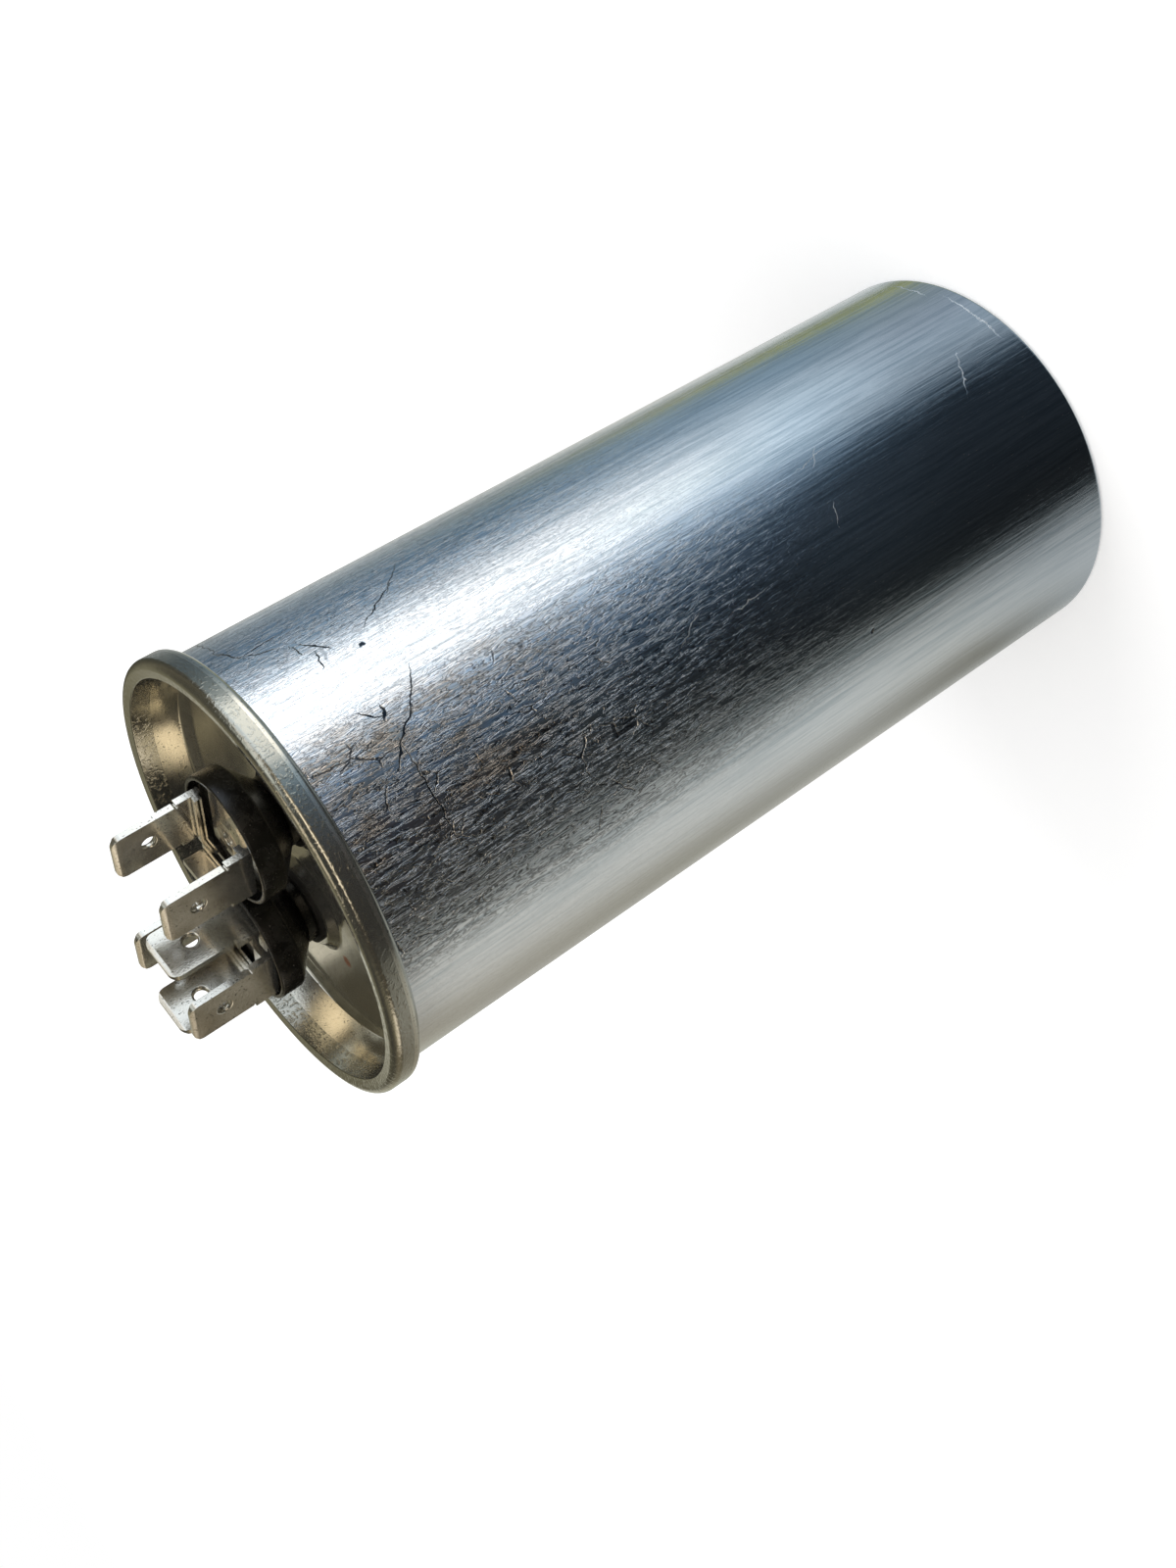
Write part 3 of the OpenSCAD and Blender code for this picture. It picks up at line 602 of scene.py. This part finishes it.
# What the metal sees: at each elevation in degrees, colours by bearing in degrees, with how many times
# brighter than its colour a lit card is.
SURROUND = {
    -42: [
        (-180, "#a0a8ac"), (-163, "#a6acae"), (-146, "#a6acae"), (-130, "#9ea4a6"), (-113, "#868c8e"),
        (-103, "#585e60"), (-98, "#262a2c"), (-85, "#181b1d"), (-3, "#242c34"), (6, "#485866"),
        (15, "#84929e"), (32, "#96a6b4"), (49, "#8e9caa"), (65, "#84929e"), (90, "#86928f"),
        (97, "#a0a468"), (103, "#6a7258"), (108, "#98a2a0"), (118, "#c4caca"), (134, "#dadede"),
    ],
    -37: [
        (-176, "#7a7a72"), (-163, "#8c8c84"), (-146, "#b6b8b4"), (-130, "#b0b4b2"), (-113, "#949896"),
        (-103, "#686c6a"), (-98, "#303434"), (-85, "#1e2224"), (-14, "#323c46"), (-2, "#54687a"),
        (6, "#869cb0"), (15, "#a6bccc"), (24, "#cce0f0"), (49, "#bcd0de"), (57, "#a8bac8"), (74, "#7a92a4"),
        (92, "#7c8e98"), (99, "#a0a468"), (105, "#6c7460"), (110, "#a4aca8"), (125, "#dadedc"),
    ],
    -32: [
        (-180, "#96968e"), (-163, "#a2a29c"), (-146, "#c2c4c0"), (-130, "#c0c4c2"), (-113, "#a2a6a4"),
        (-103, "#767c7a"), (-98, "#3c4040"), (-85, "#1e2122"), (-40, "#22282e"), (-14, "#4a5a6c"),
        (-2, "#8094a8"), (6, "#acc0d4"), (17, "#dcecfa"), (28, "#f6ffff", 1.2), (40, "#f0f8ff"),
        (57, "#b4c4d0"), (74, "#8096a8"), (94, "#8698a2"), (102, "#9a9c72"), (106, "#6c7260"),
        (111, "#b4bab8"), (132, "#dcdcd6"),
    ],
    -25.5: [
        (-180, "#969488"), (-163, "#a4a298"), (-146, "#c2c2bc"), (-130, "#c2c4c0"), (-113, "#aaaca8"),
        (-103, "#868a86"), (-98, "#444646"), (-85, "#262828"), (-45, "#2e3438"), (-14, "#566a80"),
        (-3, "#8ca4bc"), (5, "#c8dcf0"), (13, "#ffffff", 1.3), (33, "#ffffff", 1.8), (45, "#ffffff"),
        (57, "#a8bccc"), (70, "#647c92"), (90, "#647c8c"), (103, "#8c9898"), (108, "#76786a"),
        (114, "#b8c0c2"), (130, "#dcdcd6"),
    ],
    -18: [
        (-180, "#9e9a8e"), (-163, "#aaa69a"), (-146, "#c2c0b8"), (-130, "#c6c6c0"), (-113, "#b0b0aa"),
        (-103, "#92928c"), (-98, "#504f4c"), (-85, "#2c2b2a"), (-45, "#34343a"), (-19, "#5c7088"),
        (-8, "#8ca8c4"), (2, "#d0e4f8"), (9, "#ffffff", 1.8), (40, "#ffffff", 2.4), (48, "#e8f4ff"),
        (57, "#a8bccc"), (70, "#6c8498"), (88, "#5a7086"), (104, "#8a969c"), (118, "#bcc4c8"),
        (134, "#c8c8c0"),
    ],
    -11: [
        (-180, "#a09a86"), (-164, "#6a624e"), (-150, "#5a5240"), (-120, "#544c3a"), (-104, "#443e32"),
        (-85, "#2a2722"), (-45, "#2e2b26"), (-19, "#50565e"), (-8, "#8aa0b4"), (3, "#d4e6f6"),
        (10, "#e4f0ff", 2.0), (44, "#e4f0ff", 2.0), (52, "#a8b4be"), (66, "#5e5e52"), (96, "#3c4038"),
        (138, "#44463c"), (148, "#b8c0b8"), (168, "#c4c4b0"),
    ],
    4: [
        (-180, "#8a8470"), (-156, "#8c8068"), (-146, "#fff2e0", 1.7), (-128, "#fff2e0", 1.7),
        (-118, "#7a6e58"), (-95, "#453f33"), (-62, "#5e5644"), (-50, "#a89c84"), (-20, "#a89c84"),
        (6, "#8a7c62"), (14, "#e8f2ff", 1.6), (40, "#e8f2ff", 1.6), (48, "#9a8a6e"), (55, "#3e3a2e"),
        (82, "#3e3a2e"), (100, "#484638"), (132, "#56523f"), (146, "#e0decc"), (170, "#c8c4b0"),
    ],
    16: [
        (-180, "#5c5644"), (-158, "#8c8068"), (-150, "#f6e8cc"), (-130, "#f6e8cc"), (-118, "#5c5644"),
        (-96, "#2e2b26"), (-76, "#4e4638"), (-60, "#fff0dc", 3.6), (-16, "#fff0dc", 3.6), (-2, "#8c8068"),
        (10, "#8c8068"), (18, "#e8f2ff", 1.6), (42, "#e8f2ff", 1.6), (52, "#5e5a48"), (100, "#6e6854"),
        (132, "#949078"), (141, "#8e8870"), (152, "#4e4a38"),
    ],
    22: [
        (-180, "#4e4a3c"), (-158, "#78705c"), (-140, "#c0b69c"), (-118, "#544e40"), (-95, "#3a352c"),
        (-40, "#5c5444"), (4, "#7c7a6c"), (14, "#ffffff", 1.4), (34, "#ffffff", 1.4), (46, "#565040"),
        (100, "#5c5646"), (132, "#8c8870"), (141, "#908c74"), (156, "#625e4a"),
    ],
    34: [
        (-180, "#3e3a2e"), (-160, "#5a5444"), (-136, "#948c74"), (-95, "#3a352c"), (-40, "#3a362e"),
        (4, "#7c8080"), (14, "#ffffff", 1.4), (26, "#ffffff", 1.4), (34, "#4e4a3a"), (110, "#4e4a3a"),
        (135, "#88846e"), (150, "#aca890"), (168, "#4e4a3a"),
    ],
    56: [
        (-180, "#46423a"), (-120, "#4c483c"), (-60, "#34362f"), (-10, "#464a44"), (12, "#f0f6f6", 1.5),
        (40, "#f0f6f6", 1.5), (62, "#4c4c42"), (104, "#5c5848"), (128, "#9a9478"), (164, "#8c876e"),
    ],
    72: [(-180, "#46423a"), (-60, "#34342c"), (27, "#5c5c52"), (90, "#46443a"), (136, "#8c876e")],
    82: [(-180, "#fff0d8", 1.3), (0, "#fff0d8", 1.3)],
}


def make_world():
    """White behind the object, a level grey for plain surfaces, and studio cards for the metal."""
    world = bpy.data.worlds.new("studio")
    bpy.context.scene.world = world
    world.cycles.sampling_method = "NONE"    # sampled as a lamp, the world would show metal its plain grey
    world.use_nodes = True
    tree = world.node_tree
    tree.nodes.clear()
    bearing = add(tree, "ShaderNodeTexCoord").outputs["Generated"]
    split = add(tree, "ShaderNodeSeparateXYZ", {0: bearing})
    azimuth = add(tree, "ShaderNodeMath", {0: split.outputs["Y"], 1: split.outputs["X"]}, operation="ARCTAN2")
    around = add(tree, "ShaderNodeMapRange", {"Value": azimuth, "From Min": -math.pi, "From Max": math.pi})
    cards, below = None, None
    for elevation, colours in SURROUND.items():
        sine = math.sin(math.radians(elevation))
        stops = []
        for turn, colour, *times in colours:
            gain = times[0] if times else 1
            stops.append(((turn + 180) / 360, tuple(part * gain for part in linear(colour))))
        row = add(tree, "ShaderNodeValToRGB", {"Fac": around}, [*stops, (1, stops[0][1])]).outputs[0]
        if cards:
            rise = add(tree, "ShaderNodeMapRange", {
                "Value": split.outputs["Z"], "From Min": below, "From Max": sine,
            })
            row = add(tree, "ShaderNodeMix", {0: rise, 6: cards, 7: row}, data_type="RGBA").outputs[2]
        cards, below = row, sine
    rays = add(tree, "ShaderNodeLightPath")
    ambient = add(tree, "ShaderNodeBackground", {"Color": linear("#c8c8c8"), "Strength": 1.0})
    studio = add(tree, "ShaderNodeBackground", {"Color": cards, "Strength": 1.0})
    white = add(tree, "ShaderNodeBackground", {"Color": linear("#ffffff"), "Strength": 1.0})
    metal = add(tree, "ShaderNodeMixShader", {0: rays.outputs["Is Glossy Ray"], 1: ambient, 2: studio})
    clear = add(tree, "ShaderNodeMath", {
        0: rays.outputs["Is Camera Ray"], 1: rays.outputs["Is Transmission Ray"],
    }, operation="MAXIMUM")
    seen = add(tree, "ShaderNodeMixShader", {0: clear, 1: metal, 2: white})
    add(tree, "ShaderNodeOutputWorld", {"Surface": seen})


def make_floor():
    """Pale floor: white to the camera apart from the shadow that the object throws on it."""
    deselect()
    bpy.ops.mesh.primitive_plane_add(size=FLOOR_SIZE * MM, location=(0, 0, 0))
    floor = bpy.context.object
    floor.name = "floor"
    floor.visible_glossy = False
    material = bpy.data.materials.new("studio_floor")
    material.use_nodes = True
    tree = material.node_tree
    tree.nodes.clear()
    rays = add(tree, "ShaderNodeLightPath")
    paint = add(tree, "ShaderNodeBsdfDiffuse", {"Color": linear("#e8e8e8")})
    place = add(tree, "ShaderNodeTexCoord").outputs["Object"]
    away = add(tree, "ShaderNodeVectorMath", {0: place}, operation="LENGTH").outputs["Value"]
    lift = add(tree, "ShaderNodeMapRange", {
        "Value": away, "From Min": LIFT_REACH[0] * MM, "From Max": LIFT_REACH[1] * MM,
        "To Min": FLOOR_LIFT[0], "To Max": FLOOR_LIFT[1],
    })
    lift = add(tree, "ShaderNodeMath", {0: rays.outputs["Is Camera Ray"], 1: lift}, operation="MULTIPLY")
    glow = add(tree, "ShaderNodeEmission", {"Color": linear("#ffffff"), "Strength": lift})
    both = add(tree, "ShaderNodeAddShader", {0: paint, 1: glow})
    add(tree, "ShaderNodeOutputMaterial", {"Surface": both})
    floor.data.materials.append(material)


def lamp(name, bearing, height, distance, size, power):
    """A soft square lamp aimed a little above the can's middle; distance and size in metres."""
    light = bpy.data.lights.new(name, "AREA")
    light.energy, light.size = power, size
    holder = bpy.data.objects.new(name, light)
    bpy.context.collection.objects.link(holder)
    a, e = math.radians(bearing), math.radians(height)
    away = Vector((math.cos(a) * math.cos(e), math.sin(a) * math.cos(e), math.sin(e)))
    holder.location = Vector(LAMP_AIM) * MM + away * distance
    holder.rotation_euler = (-away).to_track_quat("-Z", "Y").to_euler()
    holder.visible_camera = holder.visible_glossy = False


make_camera()
make_world()
make_floor()
lamp("window_card", bearing=36, height=12, distance=0.9, size=0.7, power=6)
lamp("overhead_card", bearing=-60, height=70, distance=1.0, size=0.8, power=4)

ALUMINIUM = drawn_aluminium()
LID_TIN = bright_tinplate(
    "bright_tinplate_lid", "#ccc8ba", "#c2beb0", low=0.11, high=0.15, cell=1.6, scuff=0.004,
    rolled_shaded_above=SEAM_TOP - ROLLED_H, rust=(-12.7, -7.0, PANEL_Z))
TAB_TIN = bright_tinplate(
    "bright_tinplate_tabs", "#d6d3c9", "#c6c1b4", low=0.14, high=0.22, cell=4.0, scuff=0.006)
PHENOLIC = moulded_phenolic()


# ---------------------------------------------------------------- can and lid

def model_can():
    """Drawn can: flat base, rounded corner and a plain wall that runs up behind the seam."""
    inner = CAN_R - CAN_WALL
    neck_top = SEAM_TOP - SEAM_H + NECK_H
    profile = rounded([
        (0, 0, 0), (CAN_R, 0, BASE_ROUND), (CAN_R, neck_top, 0), (inner, neck_top, 0),
        (inner, BASE_T, 0.1), (0, BASE_T, 0),
    ], 10)
    return lathe("can_shell", profile, segments=ROUND_SEGMENTS)


def on_ring(ends, rim, boss):
    """True where both ends lie on the panel's rim or on the foot of one boss."""
    circles = [(0, rim), (CUP_X, boss), (-CUP_X, boss)]
    return any(all(abs(math.hypot(end.x - x, end.y) - r) < RING_SLACK for end in ends) for x, r in circles)


def model_lid():
    """One sheet: seam fold, chuck wall and ledge round a flat panel with a pressed boss under each cup."""
    foot_r = (SEAM_R - HOOK_R) / 2
    foot_z = SEAM_TOP - SEAM_H + foot_r
    panel_r = CHUCK_R - LEDGE_W
    rim_r, boss_r = panel_r - RIM_FLAT, BOSS_R + BOSS_FLAT
    fold = rounded([
        (rim_r, PANEL_Z, 0), (panel_r, PANEL_Z, PANEL_ROUND), (CHUCK_R, PANEL_Z + LEDGE_H, LEDGE_ROUND),
        (LIP_R, SEAM_TOP - LIP_DROP, LIP_ROUND), (CREST_R, SEAM_TOP, 0),
    ])
    fold += arc(SEAM_R - ROLL_R, SEAM_TOP - ROLL_R, ROLL_R, 90, 0)[1:]
    fold += arc(SEAM_R - foot_r, foot_z, foot_r, 0, -180)
    fold += [Vector((HOOK_R, SEAM_TOP - SEAM_H / 2))]
    rim = lathe("lid_sheet", fold, segments=ROUND_SEGMENTS)
    boss = rounded([
        (boss_r, PANEL_Z, 0), (BOSS_R, PANEL_Z, PANEL_ROUND), (BOSS_TOP_R, BOSS_Z, BOSS_ROUND),
        (SPIGOT_R + SPIGOT_PLAY, BOSS_Z, 0),
    ])
    sheet = join("lid_sheet", rim, *[lathe("boss", boss, side * CUP_X, 96) for side in (1, -1)])
    pick(sheet, "EDGE", lambda middle, ends: at_height(ends, PANEL_Z) and on_ring(ends, rim_r, boss_r))
    bpy.ops.mesh.fill()
    tidy(sheet)
    panel = next(face for face in sheet.data.polygons if abs(face.center.z / MM - PANEL_Z) < CLOSE)
    if panel.normal.z < 0:
        bpy.ops.object.mode_set(mode="EDIT")
        bpy.ops.mesh.select_all(action="SELECT")
        bpy.ops.mesh.flip_normals()
        bpy.ops.object.mode_set(mode="OBJECT")
    modify(sheet, "SOLIDIFY", thickness=LID_T * MM, offset=-1, use_even_offset=True)
    tidy(sheet)
    modify(sheet, "WEIGHTED_NORMAL", weight=100, keep_sharp=True)
    return sheet


def model_cup(name, centre_x):
    """Moulded cup: thin upstanding wall, cone and neck, with softly rounded mould edges."""
    inner = CUP_R - CUP_WALL
    straight = CUP_TOP - CUP_STRAIGHT
    profile = rounded([
        (BORE_R, CUP_LOW.z, 0), (BORE_R, PLATE_LOW, 0), (inner, PLATE_LOW, 0.25), (inner, CUP_TOP, 0.12),
        (CUP_R, CUP_TOP, 0.2), (CUP_R, straight, 0.5), (NECK_R, straight - CUP_CONE, 0.4),
        (NECK_R, GASKET_HIGH.z, 0), (SPIGOT_R, GASKET_HIGH.z, 0), (SPIGOT_R, CUP_LOW.z, 0),
        (BORE_R, CUP_LOW.z, 0),
    ], 5)
    return lathe(name, profile, centre_x, 128)


# ---------------------------------------------------------------- terminals

def bent_foot(piece, offset, reach):
    """Turns the foot of an upstanding wall through its bend, then runs it flat to the middle square."""
    foot = PLATE_TOP + BEND_R
    pick(piece, "FACE", lambda middle, corners: at_height(corners, foot))
    axis_y = offset - TAB_T / 2 - BEND_R
    bpy.ops.mesh.spin(steps=8, angle=-math.pi / 2, center=Vector((0, axis_y, foot)) * MM, axis=(1, 0, 0))
    bpy.ops.mesh.extrude_region_move(TRANSFORM_OT_translate={"value": (0, (reach - axis_y) * MM, 0)})
    pick(piece, "FACE", lambda middle, corners: at_height(corners, foot)
         or all(abs(corner.y - reach) < CLOSE for corner in corners))
    bpy.ops.mesh.delete(type="FACE")
    bpy.ops.object.mode_set(mode="OBJECT")


def model_tab(offset):
    """One tab on the +Y side: root, shoulders, rounded and coined tip, locking hole, bend and foot."""
    face = TAB_T / 2
    shoulder_z = PLATE_TOP + ROOT_H
    hole_z = TAB_TIP - HOLE_DROP
    tab = block("tab", (-ROOT_W / 2, offset - face, PLATE_TOP + BEND_R),
                (ROOT_W / 2, offset + face, shoulder_z))
    pick(tab, "FACE", lambda middle, corners: at_height(corners, shoulder_z))
    bpy.ops.mesh.extrude_region_move()
    bpy.ops.transform.resize(value=(TAB_W / ROOT_W, 1, 1))
    bpy.ops.mesh.extrude_region_move(TRANSFORM_OT_translate={"value": (0, 0, (TAB_TIP - shoulder_z) * MM)})
    pick(tab, "EDGE", lambda middle, ends: at_height(ends, TAB_TIP) and abs(ends[0].x - ends[1].x) < CLOSE)
    bpy.ops.mesh.bevel(offset=TIP_ROUND * MM, segments=10, profile=0.5, affect="EDGES")
    slope = math.atan(TIP_BEVEL / TIP_SLOPE)
    for side in (1, -1):
        bpy.ops.mesh.select_all(action="SELECT")
        bpy.ops.mesh.bisect(
            plane_co=Vector((0, offset + side * face, TAB_TIP - TIP_SLOPE)) * MM,
            plane_no=(0, side * math.cos(slope), math.sin(slope)), use_fill=True, clear_outer=True)
    bpy.ops.object.mode_set(mode="OBJECT")
    low, high = offset - TAB_T, offset + TAB_T
    cut_away(tab, pin(HOLE_D / 2, low, high, 0, hole_z),
             *[pin(NOTCH_R, low, high, side * TAB_W / 2, shoulder_z) for side in (1, -1)])
    pick(tab, "EDGE", lambda middle, ends: all(
        abs(math.hypot(end.x, end.z - hole_z) - HOLE_D / 2) < RING_SLACK
        and abs(abs(end.y - offset) - face) < CLOSE for end in ends))
    bpy.ops.mesh.bevel(offset=HOLE_BEVEL * MM, segments=3, profile=0.5, affect="EDGES")
    bent_foot(tab, offset, ROOT_W / 2)
    return tab


def model_low_wall():
    """The low wall on the +Y side, with its bend and foot."""
    face = TAB_T / 2
    wall = block("low_wall", (-ROOT_W / 2, WALL_OFFSET - face, PLATE_TOP + BEND_R),
                 (ROOT_W / 2, WALL_OFFSET + face, PLATE_TOP + WALL_H))
    bent_foot(wall, WALL_OFFSET, ROOT_W / 2)
    return wall


def model_terminal(name, centre_x, walls, blunt=0.0):
    """Walls round a middle square, merged into one bent sheet, with its punched edges softened."""
    half = ROOT_W / 2
    plate = block("plate", (-half, -half, PLATE_LOW), (half, half, PLATE_TOP))
    if blunt:
        pick(plate, "FACE", lambda middle, corners: all(abs(corner.x - half) < CLOSE for corner in corners))
        bpy.ops.mesh.extrude_region_move(TRANSFORM_OT_translate={"value": ((blunt - half) * MM, 0, 0)})
    bearings = {round(math.degrees(turn)) % 360 for turn, wall in walls}
    pick(plate, "FACE", lambda middle, corners: abs(middle.z - PLATE_LOW - TAB_T / 2) < CLOSE
         and abs(math.hypot(middle.x, middle.y) - half) < CLOSE
         and round(math.degrees(math.atan2(-middle.x, middle.y))) % 360 in bearings)
    bpy.ops.mesh.delete(type="ONLY_FACE")
    sheet = join(name, plate, *[turned_copy(wall, turn) for turn, wall in walls])
    tidy(sheet)
    if blunt:
        cut_away(sheet, block("slot", (-WALL_OFFSET - 1.5 * TAB_T, -SLOT_W / 2, PLATE_TOP + SLOT_SILL),
                              (-WALL_OFFSET + (TAB_T + BEND_R) / 2, SLOT_W / 2, PLATE_TOP + SLOT_H)))
    modify(sheet, "BEVEL", width=EDGE * MM, segments=2, limit_method="ANGLE", angle_limit=math.radians(40))
    sheet.rotation_euler = (0, 0, TAB_TURN)
    sheet.location = (centre_x * MM, 0, 0)
    select(sheet)
    bpy.ops.object.transform_apply(location=True, rotation=True, scale=True)
    tidy(sheet)
    modify(sheet, "WEIGHTED_NORMAL", keep_sharp=True)
    return sheet


def model_rivet(side):
    """Rivet with a formed head below the lid, and a low spread head with a blind hole on the plate."""
    under, top = RIVET_LOW.z, RIVET_HIGH.z
    profile = rounded([
        (0, under, 0), (HEAD_R, under, HEAD_ROUND), (HEAD_R, under + HEAD_T, 0), (SHANK_R, under + HEAD_T, 0),
        (SHANK_R, PLATE_TOP, 0), (SPREAD_R, PLATE_TOP, 0), (SPREAD_TOP_R, top, SPREAD_ROUND),
        (BLIND_R, top, BLIND_ROUND), (BLIND_R, top - BLIND_H, BLIND_ROUND), (0, top - BLIND_H, 0),
    ], 4)
    return lathe("rivet", profile, side * CUP_X, 64)


dress(model_can(), ALUMINIUM, "can_aluminium", "can")
dress(model_lid(), LID_TIN, "lid_tinplate", "lid")
dress(model_cup("cup_right", CUP_X), PHENOLIC, "cup_phenolic", "cup_two_tab")
dress(model_cup("cup_left", -CUP_X), PHENOLIC, "cup_phenolic", "cup_four_tab")

QUARTER = math.pi / 2
pair_tab, crown_tab, low_wall = model_tab(PAIR_OFFSET), model_tab(CROWN_OFFSET), model_low_wall()
pair_walls = [(0, pair_tab), (2 * QUARTER, pair_tab), (QUARTER, low_wall)]
crown_walls = [(turn * QUARTER, crown_tab) for turn in range(4)]
pair = model_terminal("terminal_pair", CUP_X, pair_walls, WALL_OFFSET)
crown = model_terminal("terminal_crown", -CUP_X, crown_walls)
for pattern in (pair_tab, crown_tab, low_wall):
    bpy.data.objects.remove(pattern)
dress(pair, TAB_TIN, "terminal_tinplate", "terminal_two_tab")
dress(crown, TAB_TIN, "terminal_tinplate", "terminal_four_tab")
dress(join("rivet_pair", model_rivet(1), model_rivet(-1)), TAB_TIN, "rivet_steel", "rivets")

# ---------------------------------------------------------------- finishes of the CAD's own pieces

# Pressed rubber: near black and dull.
RUBBER = two_tone("pressed_rubber", "#1c1b1a", "#141312", 0.8, Roughness=0.65)
# Polypropylene: milky, with slow faint clouds.
PLASTIC = two_tone("moulded_polypropylene", "#efe9d8", "#e4dcc8", 4.0, Roughness=0.45)
# Tinned brass: pale yellow metal that blurs what it mirrors.
BRASS = two_tone("tinned_brass", "#cfc4a0", "#b9a878", 3.0, Metallic=1.0, Roughness=0.3)
# Sprayed zinc: grey and rough, with coarse grains.
SPRAY = two_tone("sprayed_zinc", "#8e9092", "#6c6e71", 0.35, depth=0.06, Metallic=0.7, Roughness=0.7)
# Solder: soft grey metal, a little uneven from freezing.
SOLDER = two_tone("poured_solder", "#b9babc", "#9fa0a4", 1.0, depth=0.03, Metallic=1.0, Roughness=0.32)
# Cured seam compound: dull mid grey.
COMPOUND = two_tone("seam_compound", "#4a4a48", "#3c3c3a", 0.8, Roughness=0.6)
# Wire insulation: smooth and even, with a slight sheen.
RED = two_tone("red_insulation", "#9a2a20", "#8a221a", 3.0, Roughness=0.4)
BLACK = two_tone("black_insulation", "#232326", "#1a1a1c", 3.0, Roughness=0.4)
# Extruded sleeve: cream, with long faint streaks.
SLEEVE = two_tone("extruded_sleeve", "#e0d8b8", "#d2c8a4", 3.0, (1, 1, 8), Roughness=0.5)
# Metallised film: silvery, with fine streaks along the roll.
FILM = two_tone(
    "metallised_film", "#cdd0cf", "#b4b8b8", 0.6, (1, 1, 200), Metallic=0.6, Roughness=0.25)
# Polyester wrap: cream and glossy, with broad streaks.
WRAP = two_tone("polyester_wrap", "#e4dcc0", "#d6ccac", 6.0, (1, 1, 6), Roughness=0.3)
# Phenolic board: brown, with its fibres all one way.
BOARD = two_tone("phenolic_board", "#84603c", "#6c4c2e", 1.2, (4, 1, 1), 0.02, Roughness=0.55)

OTHERS = {
    "seam_compound": COMPOUND,
    "gasket_two_tab": RUBBER,
    "gasket_four_tab": RUBBER,
    "inner_insulator_two_tab": PLASTIC,
    "inner_insulator_four_tab": PLASTIC,
    "winding_core": PLASTIC,
    "bottom_spacer": PLASTIC,
    "solder_tag_two_tab": BRASS,
    "solder_tag_four_tab": BRASS,
    "solder_top": SOLDER,
    "solder_bottom": SOLDER,
    "end_spray_top": SPRAY,
    "end_spray_bottom": SPRAY,
    "lead_top": RED,
    "lead_core": BLACK,
    "lead_sleeve": SLEEVE,
    "winding": FILM,
    "winding_wrap": WRAP,
    "top_disc": BOARD,
}
for name, material in OTHERS.items():
    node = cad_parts[name]
    node.data.materials.clear()
    node.data.materials.append(material)

scene = bpy.context.scene
scene.view_settings.view_transform = "Standard"
